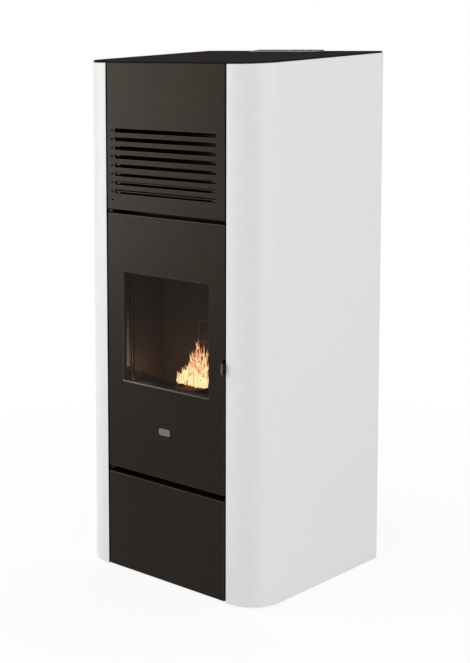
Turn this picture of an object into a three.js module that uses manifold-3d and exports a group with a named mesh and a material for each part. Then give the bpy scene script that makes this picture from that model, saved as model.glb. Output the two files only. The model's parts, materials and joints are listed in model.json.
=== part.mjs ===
// A free-standing pellet stove in millimetres. +Z is up, the door faces -Y, and the origin is on the
// floor under the middle of the casing. A dark steel front with door, drawer and air outlet stands
// between two tall white side panels that turn round the front corners.

import * as THREE from "three";
import { mergeVertices } from "three/addons/utils/BufferGeometryUtils.js";
import Module from "manifold-3d";

const wasm = await Module();
wasm.setup();

// ---------------------------------------------------------------- driving dimensions

// casing
const casingWidth = 600;
const casingDepth = 500;
const casingHeight = 1300; // a side panel at the front, from its lower edge to the top plate
const floorGap = 4; // air under the side panels
const cornerRadius = 85; // front corner of a side panel
const rearCornerRadius = 12;
const panelSheet = 3;
const panelReturn = 15; // a side panel's front edge, folded back beside the dark front
const rearReturn = 22;
const topSlope = 0.055; // the top climbs to the rear, mm per mm
const topThickness = 4;
const topInset = 2; // the top plate stops this far inside the side panels
const fit = 0.3; // gap between pieces that touch

// dark front
const panelFaceWidth = 97; // from a side of the casing in to the dark front's column
const frontSideGap = 5;
const frontSheet = 3;
const drawerFold = 14; // depth of the folded edges behind the sheet
const doorFold = 20;
const upperFold = 46;
const drawerFrontHeight = 250;
const drawerFrontLift = 2; // above the lower edge of the side panels
const fingerGap = 15.5; // between drawer front and door
const outletGap = 10.5; // between door and upper panel
const upperPanelHeight = 367.2; // the door takes the height that the other panels leave

// air outlet
const outletSlots = 8;
const slotPitch = 21.95;
const slotHeight = 10.4;
const slotMargin = 27; // from the side of the dark front to the end of a slot
const slotCornerRadius = 1.5;
const topSlotDrop = 163.2; // from the top of the upper panel to the top of the first slot
const hookSlots = 9;
const hookSlotLength = 8;
const hookSlotHeight = 4;
const hookSlotInset = 17; // from the left side of the dark front
const bladePitch = 23.3;
const bladeCount = 8;
const bladeLip = 2.8;
const bladeSlit = 3.5;
const bladeMargin = 25; // from the side of the dark front to the end of a blade
const bladeSlitMargin = 18; // from the end of a blade to the end of its slit
const bladeDepth = 3;
const bladeTopDrop = 156.9; // from the top of the upper panel to the top of the first blade
const bladeStripWidth = 5;
const outletDuctMargin = 22; // from the side of the dark front to the duct
const outletDuctRise = 30; // between the firebox fins and the duct
const outletDuctOverSlots = 9.5;
const outletDuctDepth = 150;
const outletDuctSheet = 1.5;
const outletDuctIntakeMargin = 26; // from the side of the duct to the intake in its foot

// door
const windowWidth = 288;
const windowAboveDoor = 232.3; // from the lower edge of the door to the window
const windowBelowDoorTop = 150;
const windowBevel = 3; // the bevelled rim spreads by this much towards the room
const windowDepth = 8.5; // from the face of the door to the glass
const windowRimWidth = 7;
const glassThickness = 4;
const glassMargin = 12; // glass beyond the window on each side
const glassGasketThickness = 2;
const glassGasketWidth = 8;
const doorFrameThickness = 6;
const doorCollarWidth = 14;
const doorCollarDepth = 15.6;
const doorMouthWidth = 300;
const doorMouthUnderWindow = 7.8;
const doorMouthOverWindow = 8;
const doorGasketThickness = 4.8;
const doorGasketWidth = 12;
const hingeInset = 9; // hinge axis from the side edge of the door
const hingeDepth = 9; // hinge axis behind the face of the door
const hingePinRadius = 2.5;
const hingePinReach = 18; // pin past the hinge arm
const hingeArmThickness = 4;
const hingeArmGap = 3.5; // between an arm and the door
const hingeArmWidth = 14;
const hingeBackHeight = 33;
const pinClearance = 0.3;
const badgeWidth = 37;
const badgeHeight = 16.5;
const badgeThickness = 1.3;
const badgeAboveDoor = 120.5; // from the lower edge of the door to the badge's middle

// door handle: a short lever in a notch at the free edge of the door
const handleWidth = 7;
const handleHeight = 28;
const handleProud = 10;
const handleReach = 36; // from the face of the door to the end of the nose
const handleAboveDoor = 311.5;
const handlePinDepth = 12; // pin behind the face of the door
const handlePinRadius = 3;
const handleOverhang = 3.5; // lever past the edge of the door
const handleNotchDepth = 5.5;
const handleNotchUp = 22; // notch above and below the pin
const handleNotchDown = 16;
const keeperGap = 3; // above the nose of the lever
const keeperHeight = 4;
const keeperWidth = 5;
const keeperInset = 2; // inside the outer face of the lever
const keeperOverNose = 8; // the keeper covers this much of the nose

// firebox
const fireboxSteel = 4;
const fireboxFoot = 400;
const fireboxOverLiner = 90; // room for the smoke above the liners
const flangeLip = 13.7; // flange beyond the box on each side
const flangeOverlap = 10; // flange above the box
const flangeUnder = 4; // flange below the box
const linerThickness = 12;
const linerOverMouth = 16;
const linerDepth = 114; // from the flange to the face of the back liner
const linerPortRadius = 3.5;
const linerPortSetback = 24; // from the flange
const linerPortHeight = 51; // above the hearth
const hearthTop = 470;
const hearthThickness = 4;
const hearthLegWidth = 4;
const cheekThickness = 3;
const cheekHeight = 48; // at the front; it runs out at the back liner
const ashSlots = 5;
const ashSlotWidth = 6;
const ashSlotPitch = 15;
const firstAshSlot = 68;
const ashSlotFront = 45; // an ash slot reaches this far before the pot's axis
const ashSlotRear = 40; // and this far behind it
const baffleThickness = 8;
const baffleDepth = 98.7;
const potSetback = 63; // burn pot's axis behind the flange
const potRimRadius = 49;
const potRadius = 44.5;
const potWall = 3;
const potHeight = 46;
const potRimThickness = 6;
const potAboveHearth = 20;
const potFloor = 4;
const potAirHoles = 6;
const potAirHoleRadius = 3;
const potAirHoleCircle = 24;
const potHolderRadius = 48;
const potHolderWall = 3;
const igniterRadius = 5;
const igniterX = 25;
const igniterBehindWall = 22;
const ashPortInner = 60;
const ashPortOuter = 136;
const ashPortDepth = 100;
const finCount = 7;
const finPitch = 40;
const finHeight = 35;
const finThickness = 3;
const ashChuteWidth = 280;
const ashChuteFoot = 192;
const ashChuteWall = 2;

// ash drawer
const ashPanWidth = 300;
const ashPanRoom = 238; // depth of the casing that the ash drawer leaves free
const ashPanHeight = 172;
const ashPanWall = 2;

// base, frame and rear
const baseThickness = 4;
const baseUnderside = 12; // above the floor
const baseRim = 40;
const runnerHeight = 14;
const runnerWidth = 4;
const footRadius = 20;
const footPadHeight = 8;
const footStudRadius = 5;
const footStudLength = 26;
const footInsetX = 50; // from a side of the casing to the foot's stud
const footInsetY = 95; // from the front or the rear of the casing
const frameSheet = 4;
const frameInset = 20; // from a side of the casing to the front frame
const rearSheet = 2.5;
const rearRecess = 17.5; // rear panel in front of the casing's rear edge
const ventSlots = 7;
const ventPitch = 16;
const ventHeight = 6;
const ventWidth = 150;
const ventDrop = 104; // from the casing's top to the middle of the upper vents

// hopper and feed
const hopperWidth = 366;
const hopperBehindFirebox = 105.6;
const hopperRearGap = 92; // from the hopper to the rear of the casing
const hopperWall = 2;
const hopperRim = 12;
const hopperLipX = 215;
const hopperLipWidth = 8;
const hopperStraightFoot = 940;
const hopperNeckTop = 800;
const hopperNeckWidth = 64;
const hopperOutletSetback = 2; // behind the middle of the hopper
const augerTilt = THREE.MathUtils.degToRad(30); // from the vertical
const augerFootSetback = 23; // behind the hopper's outlet
const augerFootZ = 580;
const augerLength = 220;
const augerTubeRadius = 34;
const augerTubeWall = 4;
const augerRadius = 28;
const augerShaftRadius = 8;
const augerPitch = 36;
const augerFlight = 3;
const augerEndPlate = 4;
const augerInlet = [45, 110]; // along the auger
const augerInletWidth = 48;
const augerOutlet = [160, 194];
const gearboxLength = 32;
const gearboxSize = 62;
const motorLength = 56;
const motorRadius = 28;
const chuteWidth = 60;
const chuteWall = 3;
const chuteFoot = 590; // lower edge of the chute at the back liner
const chuteHeight = 60;

// lid and console on the sloping top
const lidWidth = 400;
const lidOverhang = 16; // in front of the hopper
const lidToConsole = 11;
const lidGap = 2;
const lidRearGap = 7;
const lidFingerRadius = 22;
const lidEarWidth = 10;
const lidEarX = 150;
const lidEarDrop = 12;
const lidPinRadius = 2.5;
const lidPinDrop = 6;
const lidPinInset = 6;
const lidSealWidth = 10;
const lidSealThickness = 5.5;
const consoleWidth = 224;
const consoleDepth = 44;
const consoleSetback = 53; // from the rear of the casing to the console's front edge
const consoleBody = 20;
const consoleFrontRaise = 0.6;
const consoleRearRaise = 3.6;
const displayWidth = 84;
const displayDepth = 24;
const displayThickness = 1.5;
const displayOffset = -50;
const buttonRadius = 6;
const buttonProud = 1.2;
const buttonLength = 8;
const buttonTravelRoom = 2.2;
const buttonPitch = 24;
const firstButtonOffset = 34;

// fans, flue and mains
const fanRadius = 80;
const fanSheet = 2.5;
const motorShaftRadius = 4;
const shaftClearance = 0.6;
const smokeDuctX = -136;
const smokeDuctWidth = 60;
const smokeDuctDepth = 60;
const smokeDuctWall = 2;
const smokeDuctFoot = 196;
const smokeDuctDrop = 18; // below the top of the firebox
const smokeDuctLegHeight = 60;
const smokeDuctPastFan = 40; // past the axis of the exhaust fan
const smokePortWidth = 40;
const smokePortDrop = 75; // from the top of the firebox to the foot of the port
const smokePortHeight = 50;
const exhaustRearGap = 130; // from the fan's axis to the rear panel
const exhaustZ = 226;
const exhaustWidth = 60;
const exhaustDuctHeight = 66;
const exhaustIntakeRadius = 28;
const exhaustWheelRadius = 60;
const exhaustWheelWidth = 34;
const exhaustBlades = 8;
const exhaustHubRadius = 12;
const exhaustWheelGap = 6; // beside the wheel, inside its housing
const wheelDisc = 3;
const shaftIntoMotor = 12;
const motorBoreDepth = 16;
const standHalfDepth = 25;
const exhaustStandInset = 10;
const exhaustMotorRadius = 32;
const exhaustMotorLength = 46;
const roomFanX = 115;
const roomFanRearGap = 120;
const roomFanZ = 190;
const roomFanWidth = 110;
const roomFanOutletDepth = 60;
const roomFanOutletTop = 292;
const roomFanIntakeRadius = 45;
const roomFanWheelRadius = 66;
const roomFanBlades = 12;
const roomFanHubRadius = 14;
const roomFanWheelGap = 12;
const roomFanStandInset = 20;
const roomFanMotorRadius = 36;
const roomFanMotorLength = 42;
const bladeSheet = 2;
const flueRadius = 40;
const flueWall = 1.5;
const flueFlange = 96;
const flueFlangeSheet = 3;
const flueReach = 10; // past the rear of the casing
const airPipeRadius = 18;
const airPipeWall = 1.5;
const airPipeZ = 424;
const inletSideGap = 88; // from the side of the casing to the inlet's middle
const inletZ = 92;
const inletWidth = 30;
const inletHeight = 62;
const inletLip = 3;
const inletDepth = 26;
const socketWidth = 20;
const socketHeight = 22;
const rockerWidth = 17;
const rockerRadius = 10;
const rockerAboveInlet = 14;
const boardSideGap = 72; // from the side of the casing to the board's middle
const boardZ = 420;
const boardWidth = 96;
const boardHeight = 140;
const boardSheet = 2;
const boardMargin = 10;
const transformerWidth = 28;
const transformerHeight = 40;
const transformerDepth = 20;
const relayHeight = 42;
const relayDepth = 12;
const driverWidth = 16;
const driverHeight = 16;
const driverDepth = 6;

// ---------------------------------------------------------------- places that follow from them

const casingHalf = casingWidth / 2;
const frontY = -casingDepth / 2;
const rearY = casingDepth / 2;
const frontColumnWidth = casingWidth - 2 * panelFaceWidth; // between the side panels
const frontHalf = frontColumnWidth / 2 - frontSideGap;
const sheetBackY = frontY + frontSheet;
const casingTop = floorGap + casingHeight; // at the front
const drawerTop = floorGap + drawerFrontHeight;
const doorBottom = drawerTop + fingerGap;
const upperTop = casingTop - fit;
const upperBottom = upperTop - upperPanelHeight;
const doorTop = upperBottom - outletGap;
const slotLength = 2 * (frontHalf - slotMargin);
const hookSlotOffset = frontHalf - hookSlotInset; // from the middle of the stove
const bladeLength = 2 * (frontHalf - bladeMargin);
const bladeSlitLength = bladeLength - 2 * bladeSlitMargin;
const windowBottom = doorBottom + windowAboveDoor;
const windowTop = doorTop - windowBelowDoorTop;
const glassFrontY = frontY + windowDepth;
const glassBackY = glassFrontY + glassThickness;
const doorFrameFrontY = glassBackY + 2 * fit + glassGasketThickness;
const doorFrameBackY = doorFrameFrontY + doorFrameThickness;
const doorCollarBackY = doorFrameBackY + doorCollarDepth;
const doorMouthFoot = windowBottom - doorMouthUnderWindow;
const doorMouthTop = windowTop + doorMouthOverWindow;
const flangeFrontY = doorCollarBackY + doorGasketThickness + 2 * fit;
const flangeBackY = flangeFrontY + fireboxSteel;
const frameFrontY = flangeBackY + fit;
const frameBackY = frameFrontY + frameSheet;
const linerHalf = doorMouthWidth / 2;
const fireboxInside = linerHalf + linerThickness + fit;
const flangeHalfWidth = fireboxInside + fireboxSteel + flangeLip;
const linerTop = doorMouthTop + linerOverMouth;
const fireboxTop = linerTop + fireboxOverLiner;
const linerFaceY = flangeFrontY + linerDepth;
const fireboxBackInside = linerFaceY + linerThickness + fit;
const fireboxBack = fireboxBackInside + fireboxSteel;
const linerFrontY = flangeBackY + fit;
const potY = flangeFrontY + potSetback;
const potRimTop = hearthTop + potAboveHearth;
const potHolderTop = potRimTop - potRimThickness - fit;
const potBottom = potRimTop - potHeight;
const hingeX = hingeInset - frontHalf;
const hingeY = frontY + hingeDepth;
const handleZ = doorBottom + handleAboveDoor;
const handleY = frontY + handlePinDepth;
const handleRight = frontHalf + handleOverhang;
const baseTop = baseUnderside + baseThickness;
const rearPanelBack = rearY - rearRecess;
const rearPanelFront = rearPanelBack - rearSheet;
const outletDuctWidth = 2 * (frontHalf - outletDuctMargin);
const outletDuctIntake = outletDuctWidth - 2 * outletDuctIntakeMargin;
const outletDuctFoot = fireboxTop + finHeight + outletDuctRise;
const outletDuctTop = upperTop - topSlotDrop + outletDuctOverSlots;
const footSpreadX = casingHalf - footInsetX;
const footSpreadY = rearY - footInsetY;
const frameHalf = casingHalf - frameInset;
const ventTopZ = casingTop - ventDrop;
const hopperFront = fireboxBack + hopperBehindFirebox;
const hopperRear = rearY - hopperRearGap;
const hopperOutletY = (hopperFront + hopperRear) / 2 + hopperOutletSetback;
const augerFootY = hopperOutletY + augerFootSetback;
const consoleFront = casingDepth - consoleSetback; // up the slope from the front edge
const lidFront = hopperFront - frontY - lidOverhang;
const lidRear = consoleFront - lidToConsole;
const ashPanFront = sheetBackY + fit;
const ashPanBottom = baseTop + fit;
const ashPanTop = ashPanBottom + ashPanHeight;
const ashPanDepth = casingDepth - ashPanRoom;
const drawerOpeningHalf = ashPanWidth / 2 + runnerWidth + 6;
const exhaustY = rearPanelFront - exhaustRearGap;
const roomFanY = rearPanelFront - roomFanRearGap;
const smokeDuctTop = fireboxTop - smokeDuctDrop;
const smokeDuctLegEnd = exhaustY + smokeDuctPastFan;
const smokePortFoot = fireboxTop - smokePortDrop;
const inletX = casingHalf - inletSideGap;
const boardX = casingHalf - boardSideGap;
const exhaustLeft = smokeDuctX + smokeDuctWidth / 2 + fit;
const exhaustRight = exhaustLeft + exhaustWidth;
const exhaustX = (exhaustLeft + exhaustRight) / 2;
const flueZ = exhaustZ - fanRadius + exhaustDuctHeight / 2;
const slopeAngle = Math.atan(topSlope);
const consoleTilt = Math.atan((consoleRearRaise - consoleFrontRaise) / consoleDepth);

// ---------------------------------------------------------------- solids

// A closed geometry as a solid that can be cut and joined.
function solid(geometry) {
  const bare = geometry.index ? geometry.toNonIndexed() : geometry.clone();
  bare.deleteAttribute("normal");
  bare.deleteAttribute("uv");
  const merged = mergeVertices(bare, 1e-4);
  const mesh = new wasm.Mesh({
    numProp: 3,
    vertProperties: new Float32Array(merged.attributes.position.array),
    triVerts: new Uint32Array(merged.index.array),
  });
  return new wasm.Manifold(mesh);
}

// The geometry of a solid, with flat-shaded faces.
function geometryOf(made) {
  const mesh = made.getMesh();
  const geometry = new THREE.BufferGeometry();
  geometry.setAttribute("position", new THREE.BufferAttribute(mesh.vertProperties, 3));
  geometry.setIndex(new THREE.BufferAttribute(mesh.triVerts, 1));
  const flat = geometry.toNonIndexed();
  flat.computeVertexNormals();
  return flat;
}

function join(...geometries) {
  return geometryOf(geometries.map(solid).reduce((whole, next) => whole.add(next)));
}

function cut(body, ...tools) {
  return geometryOf(tools.map(solid).reduce((whole, tool) => whole.subtract(tool), solid(body)));
}

// A box between two corners.
function box(x0, x1, y0, y1, z0, z1) {
  const geometry = new THREE.BoxGeometry(x1 - x0, y1 - y0, z1 - z0);
  return geometry.translate((x0 + x1) / 2, (y0 + y1) / 2, (z0 + z1) / 2);
}

// Round bars along each axis, from one end to the other.
function rodX(radius, x0, x1, y, z, sides = 24) {
  const geometry = new THREE.CylinderGeometry(radius, radius, x1 - x0, sides);
  return geometry.rotateZ(Math.PI / 2).translate((x0 + x1) / 2, y, z);
}

function rodY(radius, x, y0, y1, z, sides = 24) {
  const geometry = new THREE.CylinderGeometry(radius, radius, y1 - y0, sides);
  return geometry.translate(x, (y0 + y1) / 2, z);
}

function rodZ(radius, x, y, z0, z1, sides = 24) {
  const geometry = new THREE.CylinderGeometry(radius, radius, z1 - z0, sides);
  return geometry.rotateX(Math.PI / 2).translate(x, y, (z0 + z1) / 2);
}

// A rectangle with round corners, as an outline in the plane.
function roundRectangle(width, height, radius) {
  const w = width / 2;
  const h = height / 2;
  const outline = new THREE.Shape();
  outline.moveTo(w, h - radius);
  outline.absarc(w - radius, h - radius, radius, 0, Math.PI / 2);
  outline.absarc(radius - w, h - radius, radius, Math.PI / 2, Math.PI);
  outline.absarc(radius - w, radius - h, radius, Math.PI, 1.5 * Math.PI);
  outline.absarc(w - radius, radius - h, radius, 1.5 * Math.PI, 2 * Math.PI);
  return outline;
}

// An outline drawn in X and Z, as a plate from y0 to y1.
function frontPlate(outline, y0, y1, curveSegments = 5) {
  const geometry = new THREE.ExtrudeGeometry(outline, {
    depth: y1 - y0,
    bevelEnabled: false,
    curveSegments,
  });
  return geometry.rotateX(Math.PI / 2).translate(0, y1, 0);
}

// An outline drawn in X and Y, as a plate from z0 to z1.
function flatPlate(outline, z0, z1, curveSegments = 8) {
  const geometry = new THREE.ExtrudeGeometry(outline, {
    depth: z1 - z0,
    bevelEnabled: false,
    curveSegments,
  });
  return geometry.translate(0, 0, z0);
}

// An outline given as [y, z] points, as a plate from x0 to x1.
function sidePlate(points, x0, x1) {
  const outline = new THREE.Shape(points.map(([y, z]) => new THREE.Vector2(y, z)));
  const geometry = new THREE.ExtrudeGeometry(outline, { depth: x1 - x0, bevelEnabled: false });
  const turn = new THREE.Matrix4().makeBasis(
    new THREE.Vector3(0, 1, 0), new THREE.Vector3(0, 0, 1), new THREE.Vector3(1, 0, 0),
  );
  return geometry.applyMatrix4(turn).translate(x0, 0, 0);
}

// A flat ring between two rectangles that share a middle, standing from y0 to y1.
function frontRing(halfOut, halfIn, z0, z1, rim, y0, y1) {
  const outer = box(-halfOut, halfOut, y0, y1, z0, z1);
  const inner = box(-halfIn, halfIn, y0 - 1, y1 + 1, z0 + rim, z1 - rim);
  return cut(outer, inner);
}

// A hollow box tube, open at both ends along Z.
function shaftZ(x0, x1, y0, y1, z0, z1, wall) {
  const outer = box(x0, x1, y0, y1, z0, z1);
  return cut(outer, box(x0 + wall, x1 - wall, y0 + wall, y1 - wall, z0 - 1, z1 + 1));
}

// A solid between two level rectangles, given as x0, x1, y0, y1 and a height.
function taper(low, lowZ, high, highZ) {
  const ring = ([x0, x1, y0, y1], z) => [x0, y0, z, x1, y0, z, x1, y1, z, x0, y1, z];
  const geometry = new THREE.BufferGeometry();
  const corners = new Float32Array([...ring(low, lowZ), ...ring(high, highZ)]);
  geometry.setAttribute("position", new THREE.BufferAttribute(corners, 3));
  geometry.setIndex([
    0, 2, 1, 0, 3, 2, 4, 5, 6, 4, 6, 7, 0, 1, 5, 0, 5, 4,
    1, 2, 6, 1, 6, 5, 2, 3, 7, 2, 7, 6, 3, 0, 4, 3, 4, 7,
  ]);
  return geometry;
}

// Everything above the sloping underside of the top plate, lowered by drop.
function aboveSlope(drop) {
  const size = 2 * casingWidth;
  const geometry = new THREE.BoxGeometry(size, 2 * size, size);
  geometry.translate(0, size / 2, size / 2).rotateX(slopeAngle);
  return geometry.translate(0, frontY, casingTop - drop);
}

// ---------------------------------------------------------------- finishes

function finish(color, metalness, roughness) {
  return new THREE.MeshStandardMaterial({ color, metalness, roughness });
}

const whitePaint = finish(0xe2e2e2, 0, 0.35);
const darkPaint = finish(0x3c3733, 0.2, 0.6);
const topPaint = finish(0x262523, 0.2, 0.55);
const castIron = finish(0x2b2826, 0.4, 0.75);
const bareSteel = finish(0x8d8f90, 0.9, 0.4);
const galvanised = finish(0x9fa4a6, 0.8, 0.5);
const liningStone = finish(0x4a3a2c, 0, 0.9);
const ceramicGlass = finish(0x1d1a18, 0.1, 0.1);
const fibreRope = finish(0x55524e, 0, 1);
const blackPlastic = finish(0x1c1c1c, 0, 0.5);
const greyTrim = finish(0x7a7571, 0.3, 0.45);
const circuitGreen = finish(0x2e5a3a, 0.1, 0.6);

const stove = new THREE.Group();
const slopingTop = new THREE.Group(); // x, distance up the slope, height over the plate's underside
slopingTop.position.set(0, frontY, casingTop);
slopingTop.rotation.x = slopeAngle;
stove.add(slopingTop);

const consoleFace = new THREE.Group(); // on the tilted face of the console
consoleFace.position.set(0, consoleFront, topThickness + consoleFrontRaise);
consoleFace.rotation.x = consoleTilt;
slopingTop.add(consoleFace);

const augerLine = new THREE.Group(); // +Z runs up the auger
augerLine.position.set(0, augerFootY, augerFootZ);
augerLine.rotation.x = augerTilt;
stove.add(augerLine);

function place(name, geometry, material, group = stove) {
  const mesh = new THREE.Mesh(geometry, material);
  mesh.name = name;
  group.add(mesh);
}

// ---------------------------------------------------------------- casing

// Plan of the right side panel: a sheet from the dark front round to the rear.
function sidePanelPlan() {
  const innerX = frontColumnWidth / 2;
  const cornerX = casingHalf - cornerRadius;
  const cornerY = frontY + cornerRadius;
  const rearX = casingHalf - rearCornerRadius;
  const rearCornerY = rearY - rearCornerRadius;
  const plan = new THREE.Shape();
  plan.moveTo(innerX, frontY + panelReturn);
  plan.lineTo(innerX, frontY);
  plan.absarc(cornerX, cornerY, cornerRadius, -Math.PI / 2, 0);
  plan.absarc(rearX, rearCornerY, rearCornerRadius, 0, Math.PI / 2);
  plan.lineTo(casingHalf - rearReturn, rearY);
  plan.lineTo(casingHalf - rearReturn, rearY - panelSheet);
  plan.absarc(rearX, rearCornerY, rearCornerRadius - panelSheet, Math.PI / 2, 0, true);
  plan.absarc(cornerX, cornerY, cornerRadius - panelSheet, 0, -Math.PI / 2, true);
  plan.lineTo(innerX + panelSheet, frontY + panelSheet);
  plan.lineTo(innerX + panelSheet, frontY + panelReturn);
  return plan.getPoints(9);
}

// side is 1 for the right panel and -1 for the left one.
function sidePanel(side) {
  const plan = sidePanelPlan().map((point) => new THREE.Vector2(side * point.x, point.y));
  const riseAtRear = topSlope * casingDepth;
  const tall = flatPlate(new THREE.Shape(plan), floorGap, casingTop + riseAtRear + panelReturn);
  return cut(tall, aboveSlope(fit));
}

// Plan of the casing drawn in by an inset, on the sloping top, where y starts at the front edge.
function topPlan(inset) {
  const half = casingHalf - inset;
  const corner = cornerRadius - inset;
  const rear = rearCornerRadius - inset;
  const far = casingDepth - inset;
  const plan = new THREE.Shape();
  plan.moveTo(half - corner, inset);
  plan.absarc(half - corner, inset + corner, corner, -Math.PI / 2, 0);
  plan.absarc(half - rear, far - rear, rear, 0, Math.PI / 2);
  plan.absarc(rear - half, far - rear, rear, Math.PI / 2, Math.PI);
  plan.absarc(corner - half, inset + corner, corner, Math.PI, 1.5 * Math.PI);
  return plan;
}

const lidPinY = lidRear - lidPinInset;
const earClearance = 1;

// Where the top plate carries the lid's pin: one bracket beside each ear of the lid.
function lidBracketX(side) {
  const near = lidEarX + lidEarWidth / 2 + earClearance;
  return side > 0 ? [near, near + lidEarWidth] : [-near - lidEarWidth, -near];
}

function topPlate() {
  const half = lidWidth / 2 + lidGap;
  const lidHole = box(-half, half, lidFront - lidGap, lidRear + lidRearGap, -1, topThickness + 1);
  const consoleHalf = consoleWidth / 2 + 2 * fit;
  const consoleHole = box(
    -consoleHalf, consoleHalf,
    consoleFront - 2 * fit, consoleFront + consoleDepth + 2 * fit,
    -1, topThickness + 1,
  );
  let plate = cut(flatPlate(topPlan(topInset), 0, topThickness, 10), lidHole, consoleHole);
  for (const side of [-1, 1]) {
    const [x0, x1] = lidBracketX(side);
    const holeEdge = lidRear + lidRearGap;
    const seat = box(x0, x1, holeEdge - fit, consoleFront - 1, -lidEarDrop, fit);
    const arm = box(x0, x1, lidRear - 2 * lidPinInset, consoleFront - 1, -lidEarDrop, -1);
    plate = join(plate, cut(join(seat, arm), box(x0 - 1, x1 + 1, 0, holeEdge, -1, 1)));
    plate = cut(plate, rodX(lidPinRadius + pinClearance, x0 - 1, x1 + 1, lidPinY, -lidPinDrop, 16));
  }
  return plate;
}

function hopperLid() {
  const half = lidWidth / 2;
  const leaf = box(-half, half, lidFront, lidRear, 0, topThickness);
  const fingerNotch = rodZ(lidFingerRadius, 0, lidFront - lidFingerRadius / 2, -1, topThickness + 1, 32);
  let lid = cut(leaf, fingerNotch);
  for (const side of [-1, 1]) {
    const [x0, x1] = lidBracketX(side);
    const notch = box(
      x0 - earClearance, x1 + earClearance,
      lidRear - 2 * lidPinInset - 2, lidRear + 1, -1, topThickness + 1,
    );
    lid = cut(lid, notch);
    const earX = side * lidEarX;
    const ear = box(
      earX - lidEarWidth / 2, earX + lidEarWidth / 2,
      lidRear - 2 * lidPinInset, lidRear, -lidEarDrop, topThickness / 2,
    );
    lid = join(lid, ear);
    const bore = rodX(
      lidPinRadius + pinClearance, earX - lidEarWidth, earX + lidEarWidth, lidPinY, -lidPinDrop, 16,
    );
    lid = cut(lid, bore);
  }
  return lid;
}

function lidSeal() {
  const half = hopperWidth / 2 + lidSealWidth;
  const y0 = hopperFront - frontY - lidSealWidth;
  const y1 = hopperRear - frontY + lidSealWidth;
  const outer = box(-half, half, y0, y1, -lidSealThickness - fit, -fit);
  const inner = box(
    lidSealWidth - half, half - lidSealWidth,
    y0 + lidSealWidth, y1 - lidSealWidth, -lidSealThickness - 1, 0,
  );
  return cut(outer, inner);
}

// The console's own frame: z is 0 on its face, y starts at its front edge.
function controlConsole() {
  const half = consoleWidth / 2;
  const body = box(-half, half, 0, consoleDepth, -consoleBody, 0);
  const middle = consoleDepth / 2;
  const displayHalf = displayWidth / 2 + fit;
  const recess = box(
    displayOffset - displayHalf, displayOffset + displayHalf,
    middle - displayDepth / 2 - fit, middle + displayDepth / 2 + fit,
    -displayThickness - fit, 1,
  );
  const tools = [recess];
  for (let i = 0; i < 3; i++) {
    const depth = buttonLength + buttonTravelRoom - buttonProud;
    tools.push(rodZ(buttonRadius + fit, firstButtonOffset + i * buttonPitch, middle, -depth, 1, 24));
  }
  return cut(body, ...tools);
}

place("left_side_panel", sidePanel(-1), whitePaint);
place("right_side_panel", sidePanel(1), whitePaint);
place("top_plate", topPlate(), topPaint, slopingTop);
place("hopper_lid", hopperLid(), topPaint, slopingTop);
place("lid_seal", lidSeal(), fibreRope, slopingTop);
const lidPinHalf = lidBracketX(1)[1] + 2;
place(
  "lid_hinge_pin",
  rodX(lidPinRadius, -lidPinHalf, lidPinHalf, lidPinY, -lidPinDrop, 16),
  bareSteel,
  slopingTop,
);
place("control_console", controlConsole(), greyTrim, consoleFace);
const displayMiddle = consoleDepth / 2;
place(
  "display_window",
  box(
    displayOffset - displayWidth / 2, displayOffset + displayWidth / 2,
    displayMiddle - displayDepth / 2, displayMiddle + displayDepth / 2,
    -displayThickness, 0,
  ),
  ceramicGlass,
  consoleFace,
);
["power_button", "minus_button", "plus_button"].forEach((name, i) => {
  const x = firstButtonOffset + i * buttonPitch;
  const button = rodZ(buttonRadius, x, displayMiddle, buttonProud - buttonLength, buttonProud, 24);
  place(name, button, blackPlastic, consoleFace);
});

// ---------------------------------------------------------------- base, frame and rear panel

const footPlaces = [
  [-footSpreadX, -footSpreadY],
  [footSpreadX, -footSpreadY],
  [-footSpreadX, footSpreadY],
  [footSpreadX, footSpreadY],
];

function basePlate() {
  const half = casingHalf - panelSheet - fit;
  const turn = frontY + cornerRadius;
  const rear = rearPanelFront - fit;
  const plan = new THREE.Shape([
    new THREE.Vector2(-frameHalf, frameFrontY),
    new THREE.Vector2(frameHalf, frameFrontY),
    new THREE.Vector2(half, turn),
    new THREE.Vector2(half, rear),
    new THREE.Vector2(-half, rear),
    new THREE.Vector2(-half, turn),
  ]);
  const rimTop = baseUnderside + baseRim;
  const rims = [
    box(-half, -half + baseThickness, turn, rear, baseUnderside, rimTop),
    box(half - baseThickness, half, turn, rear, baseUnderside, rimTop),
    box(-half, half, rear - baseThickness, rear, baseUnderside, rimTop),
  ];
  const runners = [-1, 1].map((side) => {
    const inner = ashPanWidth / 2 + fit;
    const x = side > 0 ? inner : -inner - runnerWidth;
    const rearEnd = ashPanFront + ashPanDepth;
    return box(x, x + runnerWidth, frameBackY + fit, rearEnd, baseUnderside, baseTop + runnerHeight);
  });
  const holes = footPlaces.map(([x, y]) => {
    return rodZ(footStudRadius + fit, x, y, baseUnderside - 1, baseTop + 1, 16);
  });
  return cut(join(flatPlate(plan, baseUnderside, baseTop), ...rims, ...runners), ...holes);
}

function levellingFoot([x, y]) {
  const pad = rodZ(footRadius, x, y, 0, footPadHeight, 24);
  const nut = rodZ(2 * footStudRadius, x, y, footPadHeight - fit, baseUnderside - fit, 6);
  const stud = rodZ(footStudRadius, x, y, footPadHeight - fit, footPadHeight + footStudLength, 16);
  return join(pad, nut, stud);
}

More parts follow.
